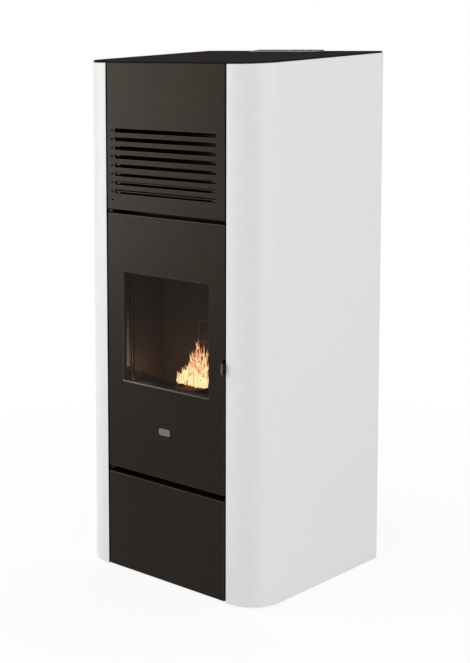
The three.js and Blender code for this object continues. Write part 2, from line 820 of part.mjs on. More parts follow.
// One steel plate behind the dark front.
function frontFrame() {
  const top = casingTop + topThickness;
  const plate = box(-frameHalf, frameHalf, frameFrontY, frameBackY, baseTop + fit, top);
  const boxHalf = fireboxInside + fireboxSteel + fit;
  const ductHalf = outletDuctWidth / 2 + fit;
  const through = (openingHalf, z0, z1) => {
    return box(-openingHalf, openingHalf, frameFrontY - 1, frameBackY + 1, z0, z1);
  };
  return cut(
    plate,
    aboveSlope(fit),
    through(drawerOpeningHalf, 0, drawerTop),
    through(boxHalf, fireboxFoot - fit, fireboxTop + fit),
    through(ductHalf, outletDuctFoot - fit, outletDuctTop + fit),
  );
}

// A bar on the frame, just over the nose of the door's lever, grown by a margin on its long sides.
function leverKeeper(grow = 0) {
  const outer = handleRight - keeperInset + grow;
  const inner = handleRight - keeperInset - keeperWidth - grow;
  const front = frontY + handleReach - keeperOverNose;
  const foot = handleZ + handleHeight / 2 - keeperGap - grow;
  return box(inner, outer, front, frameFrontY - fit, foot, foot + keeperHeight + 2 * grow);
}

function rearPanel() {
  const half = casingHalf - panelSheet - fit;
  const sheet = box(-half, half, rearPanelFront, rearPanelBack, baseUnderside, casingTop + casingDepth);
  const through = (x0, x1, z0, z1) => {
    return box(x0, x1, rearPanelFront - 1, rearPanelBack + 1, z0, z1);
  };
  const round = (radius, x, z) => rodY(radius, x, rearPanelFront - 1, rearPanelBack + 1, z, 32);
  const inletHalf = inletWidth / 2 + fit;
  const inletRise = inletHeight / 2 + fit;
  const consoleHalf = consoleWidth / 2 + 2 * fit;
  const consoleFootZ = casingTop + topSlope * consoleFront - consoleBody;
  const tools = [
    aboveSlope(fit),
    round(flueRadius - flueWall, exhaustX, flueZ),
    round(airPipeRadius + fit, 0, airPipeZ),
    through(inletX - inletHalf, inletX + inletHalf, inletZ - inletRise, inletZ + inletRise),
    through(-consoleHalf, consoleHalf, consoleFootZ, casingTop + casingDepth),
  ];
  for (const [x, z] of [[roomFanX, roomFanZ], [0, ventTopZ]]) {
    for (let i = 0; i < ventSlots; i++) {
      const low = z + (i - (ventSlots - 1) / 2) * ventPitch - ventHeight / 2;
      tools.push(through(x - ventWidth / 2, x + ventWidth / 2, low, low + ventHeight));
    }
  }
  return cut(sheet, ...tools);
}

place("base_plate", basePlate(), galvanised);
["foot_front_left", "foot_front_right", "foot_rear_left", "foot_rear_right"].forEach((name, i) => {
  place(name, levellingFoot(footPlaces[i]), blackPlastic);
});
place("front_frame", frontFrame(), darkPaint);
place("lever_keeper", leverKeeper(), bareSteel);
place("rear_panel", rearPanel(), galvanised);

// ---------------------------------------------------------------- dark front panels

// A sheet with its four edges folded back.
function foldedSheet(z0, z1, fold) {
  const block = box(-frontHalf, frontHalf, frontY, frontY + fold, z0, z1);
  const hollow = box(
    frontSheet - frontHalf, frontHalf - frontSheet, sheetBackY, frontY + fold + 1,
    z0 + frontSheet, z1 - frontSheet,
  );
  return cut(block, hollow);
}

function upperFrontPanel() {
  const tools = [];
  const firstTop = upperTop - topSlotDrop;
  for (let i = 0; i < outletSlots; i++) {
    const outline = roundRectangle(slotLength, slotHeight, slotCornerRadius);
    const slot = frontPlate(outline, frontY - 1, sheetBackY + 1, 2);
    tools.push(slot.translate(0, 0, firstTop - i * slotPitch - slotHeight / 2));
  }
  for (let i = 0; i < hookSlots; i++) {
    const middle = firstTop - i * slotPitch - slotHeight / 2;
    tools.push(
      box(
        -hookSlotOffset - hookSlotLength / 2, hookSlotLength / 2 - hookSlotOffset,
        frontY - 1, sheetBackY + 1, middle - hookSlotHeight / 2, middle + hookSlotHeight / 2,
      ),
    );
  }
  return cut(foldedSheet(upperBottom, upperTop, upperFold), ...tools);
}

// Inner blades behind the outlet: a lip with a slit under it, hung between two side strips.
function outletLouvre() {
  const half = bladeLength / 2;
  const y0 = sheetBackY + fit;
  const y1 = y0 + bladeDepth;
  const height = bladeLip + bladeSlit;
  const firstTop = upperTop - bladeTopDrop;
  const lastBottom = firstTop - (bladeCount - 1) * bladePitch - height;
  const stripBack = y1 + bladeStripWidth;
  const pieces = [
    box(-half - bladeStripWidth, 1 - half, y0, stripBack, lastBottom, firstTop),
    box(half - 1, half + bladeStripWidth, y0, stripBack, lastBottom, firstTop),
  ];
  for (let i = 0; i < bladeCount; i++) {
    const top = firstTop - i * bladePitch;
    const blade = box(-half, half, y0, y1, top - height, top);
    const slitHalf = bladeSlitLength / 2;
    const slit = box(-slitHalf, slitHalf, y0 - 1, y1 + 1, top - height - 1, top - bladeLip);
    pieces.push(cut(blade, slit));
  }
  return join(...pieces);
}

// Sheet duct from the heat exchanger to the outlet: open towards the room and at its foot.
function outletDuct() {
  const half = outletDuctWidth / 2;
  const y0 = sheetBackY + 2 * fit + bladeDepth + bladeStripWidth;
  const y1 = y0 + outletDuctDepth;
  const wall = outletDuctSheet;
  const shell = box(-half, half, y0, y1, outletDuctFoot, outletDuctTop);
  const inside = box(
    wall - half, half - wall, y0 - 1, y1 - wall, outletDuctFoot + wall, outletDuctTop - wall,
  );
  const intakeHalf = outletDuctIntake / 2;
  const intake = box(
    -intakeHalf, intakeHalf, frameBackY + finPitch / 2, y1 - finPitch / 2,
    outletDuctFoot - 1, outletDuctFoot + wall + 1,
  );
  return cut(shell, inside, intake);
}

place("upper_front_panel", upperFrontPanel(), darkPaint);
place("outlet_louvre", outletLouvre(), darkPaint);
place("air_outlet_duct", outletDuct(), darkPaint);
place(
  "lower_front_panel",
  foldedSheet(floorGap + drawerFrontLift, drawerTop, drawerFold),
  darkPaint,
);

// ---------------------------------------------------------------- door

// A tapered solid behind the window: its half sizes grow towards the room like the bevelled rim.
function windowTaper() {
  const outline = (y) => {
    const spread = ((glassFrontY - y) * windowBevel) / windowDepth;
    const half = windowWidth / 2 + spread;
    return [-half, half, windowBottom - spread, windowTop + spread];
  };
  const back = glassFrontY + 1;
  const front = frontY - 1;
  return taper(outline(back), -back, outline(front), -front).rotateX(Math.PI / 2);
}

// Gap in the door's free edge for the lever.
function handleNotch(y0, y1, depth) {
  return box(
    frontHalf - depth, frontHalf + 1, y0, y1, handleZ - handleNotchDown, handleZ + handleNotchUp,
  );
}

function doorPanel() {
  const rimHalf = windowWidth / 2 + windowRimWidth;
  const rim = box(
    -rimHalf, rimHalf, sheetBackY - 1, glassFrontY - fit,
    windowBottom - windowRimWidth, windowTop + windowRimWidth,
  );
  const bore = (z) => rodZ(hingePinRadius + pinClearance, hingeX, hingeY, z - 6, z + 6, 20);
  return cut(
    join(foldedSheet(doorBottom, doorTop, doorFold), rim),
    windowTaper(),
    handleNotch(frontY - 1, frontY + doorFold + 1, handleNotchDepth),
    bore(doorBottom),
    bore(doorTop),
  );
}

function doorGlass() {
  const half = windowWidth / 2 + glassMargin;
  return box(-half, half, glassFrontY, glassBackY, windowBottom - glassMargin, windowTop + glassMargin);
}

function glassGasket() {
  const half = windowWidth / 2 + glassMargin;
  const y0 = glassBackY + fit;
  return frontRing(
    half, half - glassGasketWidth, windowBottom - glassMargin, windowTop + glassMargin,
    glassGasketWidth, y0, y0 + glassGasketThickness,
  );
}

// Inner plate of the door, with a collar round the fire's mouth and the pin of the lever.
function doorFrame() {
  const half = frontHalf - frontSheet - fit;
  const plate = box(
    -half, half, doorFrameFrontY, doorFrameBackY,
    doorBottom + frontSheet + fit, doorTop - frontSheet - fit,
  );
  const collarHalf = doorMouthWidth / 2 + doorCollarWidth;
  const collar = box(
    -collarHalf, collarHalf, doorFrameBackY - 1, doorCollarBackY,
    doorMouthFoot - doorCollarWidth, doorMouthTop + doorCollarWidth,
  );
  const mouth = box(
    -doorMouthWidth / 2, doorMouthWidth / 2, doorFrameFrontY - 1, doorCollarBackY + 1,
    doorMouthFoot, doorMouthTop,
  );
  const notchSide = frontHalf - 2 * handleNotchDepth;
  const notch = handleNotch(doorFrameFrontY - 1, doorFrameBackY + 1, 2 * handleNotchDepth);
  const lugHalf = 2 * handlePinRadius;
  const lug = box(
    notchSide - 10, notchSide, handleY - lugHalf, doorFrameFrontY + 1,
    handleZ - lugHalf, handleZ + lugHalf,
  );
  const pin = rodX(handlePinRadius, notchSide - 5, handleRight - 1, handleY, handleZ, 20);
  return join(cut(join(plate, collar), mouth, notch), lug, pin);
}

function doorGasket() {
  const inner = doorMouthWidth / 2 + 1;
  const y0 = doorCollarBackY + fit;
  return frontRing(
    inner + doorGasketWidth, inner,
    doorMouthFoot - 1 - doorGasketWidth, doorMouthTop + 1 + doorGasketWidth,
    doorGasketWidth, y0, y0 + doorGasketThickness,
  );
}

function badgePlate() {
  const outline = roundRectangle(badgeWidth, badgeHeight, badgeHeight / 2 - 0.1);
  const y = frontY - fit;
  return frontPlate(outline, y - badgeThickness, y, 8).translate(0, 0, doorBottom + badgeAboveDoor);
}

// Lever seen from the side: a flat tab in front, a bore, and a nose that reaches behind the door.
function doorHandle() {
  const front = frontY - handleProud;
  const low = handleZ - handleHeight / 2;
  const high = handleZ + handleHeight / 2;
  const outline = [
    [front, low + 2], [front + 2, low], [handleY - 10, low], [handleY + 4, handleZ - 8],
    [handleY + 10, handleZ - 2], [frontY + handleReach, handleZ], [frontY + handleReach, handleZ + 8],
    [handleY + 4, handleZ + 8], [handleY - 8, high], [front + 2, high], [front, high - 2],
  ];
  const lever = sidePlate(outline, handleRight - handleWidth, handleRight);
  const bore = rodX(
    handlePinRadius + pinClearance, frontHalf - 10, handleRight + 1, handleY, handleZ, 20,
  );
  return cut(lever, bore);
}

// Hinge arm bolted to the frame, with the pin the door turns on. side is 1 over the door, -1 under it.
function doorHinge(side) {
  const edge = side > 0 ? doorTop : doorBottom;
  const near = edge + side * hingeArmGap;
  const far = near + side * hingeArmThickness;
  const half = hingeArmWidth / 2;
  const low = Math.min(near, far);
  const high = Math.max(near, far);
  const arm = box(hingeX - half, hingeX + half, hingeY - half, frameFrontY - fit, low, high);
  const backLow = side > 0 ? high - hingeBackHeight : low;
  const back = box(
    hingeX - half, hingeX + half, frameFrontY - fit - hingeArmThickness, frameFrontY - fit,
    backLow, backLow + hingeBackHeight,
  );
  const pinEnds = [near + side * -hingePinReach, near + side];
  const pin = rodZ(hingePinRadius, hingeX, hingeY, Math.min(...pinEnds), Math.max(...pinEnds), 20);
  const washerEnds = [edge + side * fit, near + side];
  const washer = rodZ(
    2 * hingePinRadius, hingeX, hingeY, Math.min(...washerEnds), Math.max(...washerEnds), 20,
  );
  return join(arm, back, pin, washer);
}

place("door_panel", doorPanel(), darkPaint);
place("door_glass", doorGlass(), ceramicGlass);
place("glass_gasket", glassGasket(), fibreRope);
place("door_frame", doorFrame(), castIron);
place("door_gasket", doorGasket(), fibreRope);
place("badge_plate", badgePlate(), greyTrim);
place("door_handle", doorHandle(), darkPaint);
place("hinge_lower", doorHinge(-1), darkPaint);
place("hinge_upper", doorHinge(1), darkPaint);

// ---------------------------------------------------------------- firebox

// The pellet chute as a sloping prism, grown by a margin on its four long sides.
function chutePrism(grow) {
  const half = chuteWidth / 2 + grow;
  const y0 = linerFaceY - 2;
  const y1 = augerFootY;
  const low = chuteFoot - grow - 2;
  const high = chuteFoot + chuteHeight + grow - 2;
  const rise = y1 - y0;
  return sidePlate([[y0, low], [y1, low + rise], [y1, high + rise], [y0, high]], -half, half);
}

function fireboxShell() {
  const out = fireboxInside + fireboxSteel;
  const shell = box(-out, out, flangeBackY - 1, fireboxBack, fireboxFoot, fireboxTop);
  const flange = box(
    -flangeHalfWidth, flangeHalfWidth, flangeFrontY, flangeBackY,
    fireboxFoot - flangeUnder, fireboxTop + flangeOverlap,
  );
  const inside = box(
    -fireboxInside, fireboxInside, flangeBackY, fireboxBackInside,
    fireboxFoot + fireboxSteel, fireboxTop - fireboxSteel,
  );
  const mouth = box(
    -linerHalf, linerHalf, flangeFrontY - 1, flangeBackY + 1,
    doorMouthFoot, doorMouthTop,
  );
  const backHole = (radius, x, z) => {
    return rodY(radius, x, fireboxBackInside - 1, fireboxBack + 1, z, 24);
  };
  const smokePort = box(
    smokeDuctX - smokePortWidth / 2, smokeDuctX + smokePortWidth / 2,
    fireboxBackInside - 1, fireboxBack + 1, smokePortFoot, smokePortFoot + smokePortHeight,
  );
  const ashPorts = [-1, 1].map((side) => {
    const edges = [side * ashPortInner, side * ashPortOuter];
    return box(
      Math.min(...edges), Math.max(...edges), potY - ashPortDepth / 2, potY + ashPortDepth / 2,
      fireboxFoot - 1, fireboxFoot + fireboxSteel + 1,
    );
  });
  const fins = [];
  for (let i = 0; i < finCount; i++) {
    const x = (i - (finCount - 1) / 2) * finPitch;
    fins.push(
      box(
        x - finThickness / 2, x + finThickness / 2, frameBackY + 1, fireboxBack - 1,
        fireboxTop - 1, fireboxTop + finHeight,
      ),
    );
  }
  return join(
    cut(
      join(shell, flange), inside, mouth, smokePort, ...ashPorts,
      backHole(airPipeRadius + fit, 0, airPipeZ),
      backHole(igniterRadius + fit, igniterX, airPipeZ),
      chutePrism(fit),
      leverKeeper(fit),
    ),
    ...fins,
  );
}

// Floor of the fire on two legs, with a hole for the pot, ash slots and a low cheek on each side.
function hearthPlate() {
  const half = fireboxInside - fit;
  const under = hearthTop - hearthThickness;
  const backY = fireboxBackInside - fit;
  const plate = box(-half, half, linerFrontY, backY, under, hearthTop);
  const pieces = [plate];
  for (const side of [-1, 1]) {
    const legX = side > 0 ? half - hearthLegWidth : -half;
    pieces.push(
      box(legX, legX + hearthLegWidth, linerFrontY, backY, fireboxFoot + fireboxSteel + fit, under + 1),
    );
    const outer = linerHalf - fit;
    const cheekX = side > 0 ? outer - cheekThickness : -outer;
    const outline = [
      [linerFrontY, hearthTop - 1], [linerFaceY - fit, hearthTop - 1],
      [linerFaceY - fit, hearthTop + 1], [linerFrontY, hearthTop + cheekHeight],
    ];
    pieces.push(sidePlate(outline, cheekX, cheekX + cheekThickness));
  }
  const tools = [rodZ(potHolderRadius + fit, 0, potY, under - 1, hearthTop + 1, 40)];
  for (let i = 0; i < ashSlots; i++) {
    for (const side of [-1, 1]) {
      const x = side * (firstAshSlot + i * ashSlotPitch);
      const slotHalf = ashSlotWidth / 2;
      const [front, rear] = [potY - ashSlotFront, potY + ashSlotRear];
      tools.push(box(x - slotHalf, x + slotHalf, front, rear, under - 1, hearthTop + 1));
    }
  }
  return cut(join(...pieces), ...tools);
}

// A side liner with a small air port.
function sideLiner(side) {
  const inner = side * linerHalf;
  const outer = side * (linerHalf + linerThickness);
  const x0 = Math.min(inner, outer);
  const x1 = Math.max(inner, outer);
  const board = box(x0, x1, linerFrontY, fireboxBackInside - fit, hearthTop + fit, linerTop);
  const port = rodX(
    linerPortRadius, x0 - 1, x1 + 1, flangeFrontY + linerPortSetback, hearthTop + linerPortHeight, 16,
  );
  return cut(board, port);
}

// The back liner, with the mouth of the pellet chute.
function backLiner() {
  const half = linerHalf - fit;
  const y1 = fireboxBackInside - fit;
  const board = box(-half, half, linerFaceY, y1, hearthTop + fit, linerTop - linerThickness);
  return cut(board, chutePrism(fit));
}

function baffle() {
  const half = fireboxInside - fit;
  const z0 = linerTop + fit;
  return box(-half, half, linerFrontY, linerFrontY + baffleDepth, z0, z0 + baffleThickness);
}

// The pot the pellets burn in: a cup with a broad rim and air holes in its floor.
function burnPot() {
  const inner = potRadius - potWall;
  const rimFoot = potRimTop - potRimThickness;
  const profile = [
    [0, potBottom], [potRadius, potBottom], [potRadius, rimFoot], [potRimRadius, rimFoot],
    [potRimRadius, potRimTop], [inner, potRimTop], [inner, potBottom + potFloor],
    [0, potBottom + potFloor],
  ].map(([r, z]) => new THREE.Vector2(r, z));
  const cup = new THREE.LatheGeometry(profile, 36).rotateX(Math.PI / 2).translate(0, potY, 0);
  const tools = [];
  for (let i = 0; i < potAirHoles; i++) {
    const angle = (2 * Math.PI * i) / potAirHoles;
    const x = potAirHoleCircle * Math.cos(angle);
    const y = potY + potAirHoleCircle * Math.sin(angle);
    tools.push(rodZ(potAirHoleRadius, x, y, potBottom - 1, potBottom + potFloor + 1, 10));
  }
  return cut(cup, ...tools);
}

function potHolder() {
  const foot = fireboxFoot + fireboxSteel + fit;
  const tube = rodZ(potHolderRadius, 0, potY, foot, potHolderTop, 32);
  const back = potY + potHolderRadius + 1;
  return cut(
    tube,
    rodZ(potHolderRadius - potHolderWall, 0, potY, foot + potHolderWall, potHolderTop + 1, 32),
    rodY(airPipeRadius + fit, 0, potY, back, airPipeZ, 24),
    rodY(igniterRadius + fit, igniterX, potY, back, airPipeZ, 16),
  );
}

function ashChute() {
  const half = ashChuteWidth / 2;
  const y0 = frameBackY + fit;
  const y1 = potY + ashPortDepth / 2 + ashChuteWall + 2;
  const z1 = fireboxFoot - fit;
  return shaftZ(-half, half, y0, y1, ashChuteFoot, z1, ashChuteWall);
}

function ashDrawer() {
  const half = ashPanWidth / 2;
  const y1 = ashPanFront + ashPanDepth;
  const body = box(-half, half, ashPanFront, y1, ashPanBottom, ashPanTop);
  return cut(
    body,
    box(
      ashPanWall - half, half - ashPanWall, ashPanFront + ashPanWall, y1 - ashPanWall,
      ashPanBottom + ashPanWall, ashPanTop + 1,
    ),
  );
}

place("firebox", fireboxShell(), castIron);
place("hearth_plate", hearthPlate(), castIron);
place("liner_left", sideLiner(-1), liningStone);
place("liner_right", sideLiner(1), liningStone);
place("liner_back", backLiner(), liningStone);
place("baffle", baffle(), castIron);
place("pot_holder", potHolder(), castIron);
place("burn_pot", burnPot(), castIron);
place("ash_chute", ashChute(), galvanised);
place("ash_drawer", ashDrawer(), galvanised);

const holderBackY = potY + Math.sqrt(potHolderRadius ** 2 - igniterX ** 2);
place(
  "igniter",
  rodY(igniterRadius, igniterX, holderBackY - 10, fireboxBack + igniterBehindWall, airPipeZ, 16),
  bareSteel,
);

function airIntakePipe() {
  const y0 = potY + potHolderRadius - potHolderWall - 1;
  const pipe = rodY(airPipeRadius, 0, y0, rearY, airPipeZ, 24);
  return cut(pipe, rodY(airPipeRadius - airPipeWall, 0, y0 - 1, rearY + 1, airPipeZ, 24));
}

place("air_intake_pipe", airIntakePipe(), galvanised);

// ---------------------------------------------------------------- hopper and feed

// Moves a geometry from the sloping top's own frame into the stove's frame.
function fromSlope(geometry) {
  return geometry.rotateX(slopeAngle).translate(0, frontY, casingTop);
}

// Moves a geometry from the auger's own frame into the stove's frame.
function fromAuger(geometry) {
  return geometry.rotateX(augerTilt).translate(0, augerFootY, augerFootZ);
}

function hopper() {
  const half = hopperWidth / 2;
  const neckHalf = hopperNeckWidth / 2;
  const neckFront = hopperOutletY - neckHalf;
  const neckRear = hopperOutletY + neckHalf;
  const tall = casingTop + casingDepth;
  const bodyPart = (inset, extra) => {
    const upper = [inset - half, half - inset, hopperFront + inset, hopperRear - inset];
    const lower = [inset - neckHalf, neckHalf - inset, neckFront + inset, neckRear - inset];
    return join(
      box(...upper, hopperStraightFoot - extra, tall),
      taper(lower, hopperNeckTop, upper, hopperStraightFoot),
      box(...lower, augerFootZ, hopperNeckTop + extra),
    );
  };
  const rimDrop = lidSealThickness + 2 * fit;
  const rim = fromSlope(
    box(
      -hopperLipX, hopperLipX, hopperFront - frontY - hopperRim - hopperLipWidth,
      hopperRear - frontY + hopperRim, -rimDrop - hopperWall, -rimDrop,
    ),
  );
  const lips = [
    [-hopperLipX, hopperLipWidth - hopperLipX, hopperRear - frontY + hopperRim],
    [hopperLipX - hopperLipWidth, hopperLipX, hopperRear - frontY + hopperRim],
    [-hopperLipX, hopperLipX, hopperFront - frontY - hopperRim],
  ].map(([x0, x1, rear]) => {
    const front = hopperFront - frontY - hopperRim - hopperLipWidth;
    return fromSlope(box(x0, x1, front, rear, -rimDrop - 1, -fit));
  });
  const reach = 2 * augerLength;
  const tubeRoom = fromAuger(rodZ(augerTubeRadius + fit, 0, 0, -reach, reach, 40));
  const underTube = fromAuger(box(-reach, reach, -reach, 0, -reach, reach));
  const trimmed = cut(bodyPart(0, 1), aboveSlope(rimDrop + 1));
  return cut(join(trimmed, rim, ...lips), bodyPart(hopperWall, 1), tubeRoom, underTube);
}

function augerTube() {
  const low = -augerEndPlate - 2;
  const high = augerLength;
  const inner = augerTubeRadius - augerTubeWall;
  const widthHalf = augerInletWidth / 2;
  const tube = rodZ(augerTubeRadius, 0, 0, low, high, 32);
  return cut(
    tube,
    rodZ(inner, 0, 0, low + augerEndPlate, high - augerEndPlate, 32),
    rodZ(augerShaftRadius + shaftClearance, 0, 0, low - 1, high + 1, 20),
    box(-widthHalf, widthHalf, inner / 2, augerTubeRadius + 1, ...augerInlet),
    box(-widthHalf, widthHalf, -augerTubeRadius - 1, -inner / 2, ...augerOutlet),
  );
}

// One strip of steel wound round the shaft, with its section turned along the helix.
function screwFlight(inner, outer, z0, z1, pitch, thickness, stepsPerTurn) {
  const turns = (z1 - z0) / pitch;
  const steps = Math.ceil(turns * stepsPerTurn);
  const positions = [];
  for (let i = 0; i <= steps; i++) {
    const angle = (2 * Math.PI * turns * i) / steps;
    const z = z0 + ((z1 - z0) * i) / steps;
    const corners = [[inner, z], [outer, z], [outer, z + thickness], [inner, z + thickness]];
    for (const [r, height] of corners) {
      positions.push(r * Math.cos(angle), r * Math.sin(angle), height);
    }
  }
  const indices = [0, 1, 2, 0, 2, 3];
  for (let i = 0; i < steps; i++) {
    for (let k = 0; k < 4; k++) {
      const a = 4 * i + k;
      const b = 4 * i + ((k + 1) % 4);
      indices.push(b, a, a + 4, b, a + 4, b + 4);
    }
  }
  const end = 4 * steps;
  indices.push(end, end + 2, end + 1, end, end + 3, end + 2);
  const geometry = new THREE.BufferGeometry();
  geometry.setAttribute("position", new THREE.BufferAttribute(new Float32Array(positions), 3));
  geometry.setIndex(indices);
  return geometry;
}

function augerScrew() {
  const flight = screwFlight(
    augerShaftRadius - 1, augerRadius, 2, augerLength - 18, augerPitch, augerFlight, 10,
  );
  return join(rodZ(augerShaftRadius, 0, 0, -12, augerLength - 1, 20), flight);
}

function augerGearmotor() {
  const top = -augerEndPlate - 2 - fit;
  const half = gearboxSize / 2;
  const gearbox = box(-half, half, -half, half, top - gearboxLength, top);
  const motor = rodZ(motorRadius, 0, 0, top - gearboxLength - motorLength, top - gearboxLength + 1, 28);
  const bore = rodZ(augerShaftRadius + shaftClearance, 0, 0, -14, top + 1, 20);
  return cut(join(gearbox, motor), bore);
}

function pelletChute() {
  const reach = 2 * augerLength;
  const wallSlope = chuteWall * Math.SQRT2;
  const half = chuteWidth / 2 - chuteWall;
  const y0 = linerFaceY - 4;
  const low = chuteFoot - 4 + wallSlope;
  const high = chuteFoot + chuteHeight - 4 - wallSlope;
  const run = augerFootY + 10 - y0;
  const inside = sidePlate(
    [[y0, low], [y0 + run, low + run], [y0 + run, high + run], [y0, high]], -half, half,
  );
  const beforeFace = box(-casingHalf, casingHalf, frontY, linerFaceY + fit, 0, casingTop);
  return cut(
    chutePrism(0),
    inside,
    beforeFace,
    fromAuger(rodZ(augerTubeRadius + fit, 0, 0, -reach, reach, 40)),
    fromAuger(box(-reach, reach, 0, reach, -reach, reach)),
  );
}

place("hopper", hopper(), galvanised);
place("auger_tube", augerTube(), bareSteel, augerLine);
place("auger_screw", augerScrew(), bareSteel, augerLine);
place("auger_gearmotor", augerGearmotor(), blackPlastic, augerLine);
place("pellet_chute", pelletChute(), castIron);

// ---------------------------------------------------------------- smoke path and fans

// Box duct down the back of the firebox, then to the rear beside the exhaust fan.
function smokeDuct() {
  const x0 = smokeDuctX - smokeDuctWidth / 2;
  const x1 = smokeDuctX + smokeDuctWidth / 2;
  const y0 = fireboxBack + fit;
  const y1 = y0 + smokeDuctDepth;
  const legTop = smokeDuctFoot + smokeDuctLegHeight;
  const wall = smokeDuctWall;
  const outer = join(
    box(x0, x1, y0, y1, smokeDuctFoot, smokeDuctTop),
    box(x0, x1, y0, smokeDuctLegEnd, smokeDuctFoot, legTop),
  );
  const inner = join(
    box(x0 + wall, x1 - wall, y0 + wall, y1 - wall, smokeDuctFoot + wall, smokeDuctTop - wall),
    box(x0 + wall, x1 - wall, y0 + wall, smokeDuctLegEnd - wall, smokeDuctFoot + wall, legTop - wall),
  );
  const port = box(
    smokeDuctX - smokePortWidth / 2, smokeDuctX + smokePortWidth / 2, y0 - 1, y0 + wall + 1,
    smokePortFoot, smokePortFoot + smokePortHeight,
  );
  const intake = rodX(exhaustIntakeRadius, x1 - wall - 1, x1 + 1, exhaustY, exhaustZ, 32);
  return cut(outer, inner, port, intake);
}

function exhaustFanHousing() {
  const rear = rearPanelFront - fit;
  const ductFoot = exhaustZ - fanRadius;
  const ductTop = ductFoot + exhaustDuctHeight;
  const drum = rodX(fanRadius, exhaustLeft, exhaustRight, exhaustY, exhaustZ, 36);
  const duct = box(exhaustLeft, exhaustRight, exhaustY, rear, ductFoot, ductTop);
  const stand = box(
    exhaustLeft + exhaustStandInset, exhaustRight - exhaustStandInset,
    exhaustY - standHalfDepth, exhaustY + standHalfDepth, baseTop + fit, ductFoot + 1,
  );
  const s = fanSheet;
  const room = join(
    rodX(fanRadius - s, exhaustLeft + s, exhaustRight - s, exhaustY, exhaustZ, 36),
    box(exhaustLeft + s, exhaustRight - s, exhaustY, rear + 1, ductFoot + s, ductTop - s),
  );
  return cut(
    join(drum, duct, stand),
    room,
    rodX(exhaustIntakeRadius, exhaustLeft - 1, exhaustLeft + s + 1, exhaustY, exhaustZ, 32),
    rodX(
      motorShaftRadius + shaftClearance, exhaustRight - s - 1, exhaustRight + 1, exhaustY, exhaustZ, 20,
    ),
  );
}

// A blower wheel about a shaft along X: blades between x0 and x1 on a disc at the x1 end.
function blowerWheel(x0, x1, shaftEnd, y, z, radius, hubRadius, blades) {
  const pieces = [
    rodX(radius, x1 - wheelDisc, x1, y, z, 40),
    rodX(hubRadius, x0, x1, y, z, 24),
    rodX(motorShaftRadius, x1 - 1, shaftEnd, y, z, 20),
  ];
  for (let i = 0; i < blades; i++) {
    const blade = box(x0, x1 - 1, -bladeSheet / 2, bladeSheet / 2, hubRadius - 1, radius - 1);
    pieces.push(blade.rotateX((2 * Math.PI * i) / blades).translate(0, y, z));
  }
  return join(...pieces);
}

function fanMotor(x0, length, radius, y, z) {
  const bore = rodX(motorShaftRadius + shaftClearance, x0 - 1, x0 + motorBoreDepth, y, z, 20);
  return cut(rodX(radius, x0, x0 + length, y, z, 32), bore);
}

function flueSpigot() {
  const y0 = rearPanelBack + fit;
  const y1 = rearY + flueReach;
  const half = flueFlange / 2;
  const plate = box(exhaustX - half, exhaustX + half, y0, y0 + flueFlangeSheet, flueZ - half, flueZ + half);
  const pipe = rodY(flueRadius, exhaustX, y0, y1, flueZ, 40);
  return cut(join(plate, pipe), rodY(flueRadius - flueWall, exhaustX, y0 - 1, y1 + 1, flueZ, 40));
}

const roomFanLeft = roomFanX - roomFanWidth / 2;
const roomFanRight = roomFanX + roomFanWidth / 2;

function roomFanHousing() {
  const s = fanSheet;
  const outletFront = roomFanY - fanRadius;
  const outletRear = outletFront + roomFanOutletDepth;
  const foot = roomFanZ - fanRadius;
  const drum = rodX(fanRadius, roomFanLeft, roomFanRight, roomFanY, roomFanZ, 36);
  const spout = box(roomFanLeft, roomFanRight, outletFront, outletRear, roomFanZ, roomFanOutletTop);
  const stand = box(
    roomFanLeft + roomFanStandInset, roomFanRight - roomFanStandInset,
    roomFanY - standHalfDepth, roomFanY + standHalfDepth, baseTop + fit, foot + 1,
  );
  const room = join(
    rodX(fanRadius - s, roomFanLeft + s, roomFanRight - s, roomFanY, roomFanZ, 36),
    box(
      roomFanLeft + s, roomFanRight - s, outletFront + s, outletRear - s,
      roomFanZ, roomFanOutletTop + 1,
    ),
  );
  const shaftRadius = motorShaftRadius + shaftClearance;
  return cut(
    join(drum, spout, stand),
    room,
    rodX(roomFanIntakeRadius, roomFanLeft - 1, roomFanLeft + s + 1, roomFanY, roomFanZ, 36),
    rodX(shaftRadius, roomFanRight - s - 1, roomFanRight + 1, roomFanY, roomFanZ, 20),
  );
}

place("smoke_duct", smokeDuct(), galvanised);
place("exhaust_fan_housing", exhaustFanHousing(), castIron);
const exhaustWheelEnd = exhaustRight - fanSheet - exhaustWheelGap;
place(
  "exhaust_impeller",
  blowerWheel(
    exhaustWheelEnd - exhaustWheelWidth, exhaustWheelEnd, exhaustRight + shaftIntoMotor,
    exhaustY, exhaustZ, exhaustWheelRadius, exhaustHubRadius, exhaustBlades,
  ),
  bareSteel,
);
place(
  "exhaust_motor",
  fanMotor(exhaustRight + fit, exhaustMotorLength, exhaustMotorRadius, exhaustY, exhaustZ),
  blackPlastic,
);
place("flue_spigot", flueSpigot(), darkPaint);
place("room_fan_housing", roomFanHousing(), galvanised);
place(
  "room_fan_wheel",
  blowerWheel(
    roomFanLeft + roomFanWheelGap, roomFanRight - roomFanWheelGap, roomFanRight + shaftIntoMotor,
    roomFanY, roomFanZ, roomFanWheelRadius, roomFanHubRadius, roomFanBlades,
  ),
  blackPlastic,
);
place(
  "room_fan_motor",
  fanMotor(roomFanRight + fit, roomFanMotorLength, roomFanMotorRadius, roomFanY, roomFanZ),
  blackPlastic,
);

// ---------------------------------------------------------------- electrics on the rear panel

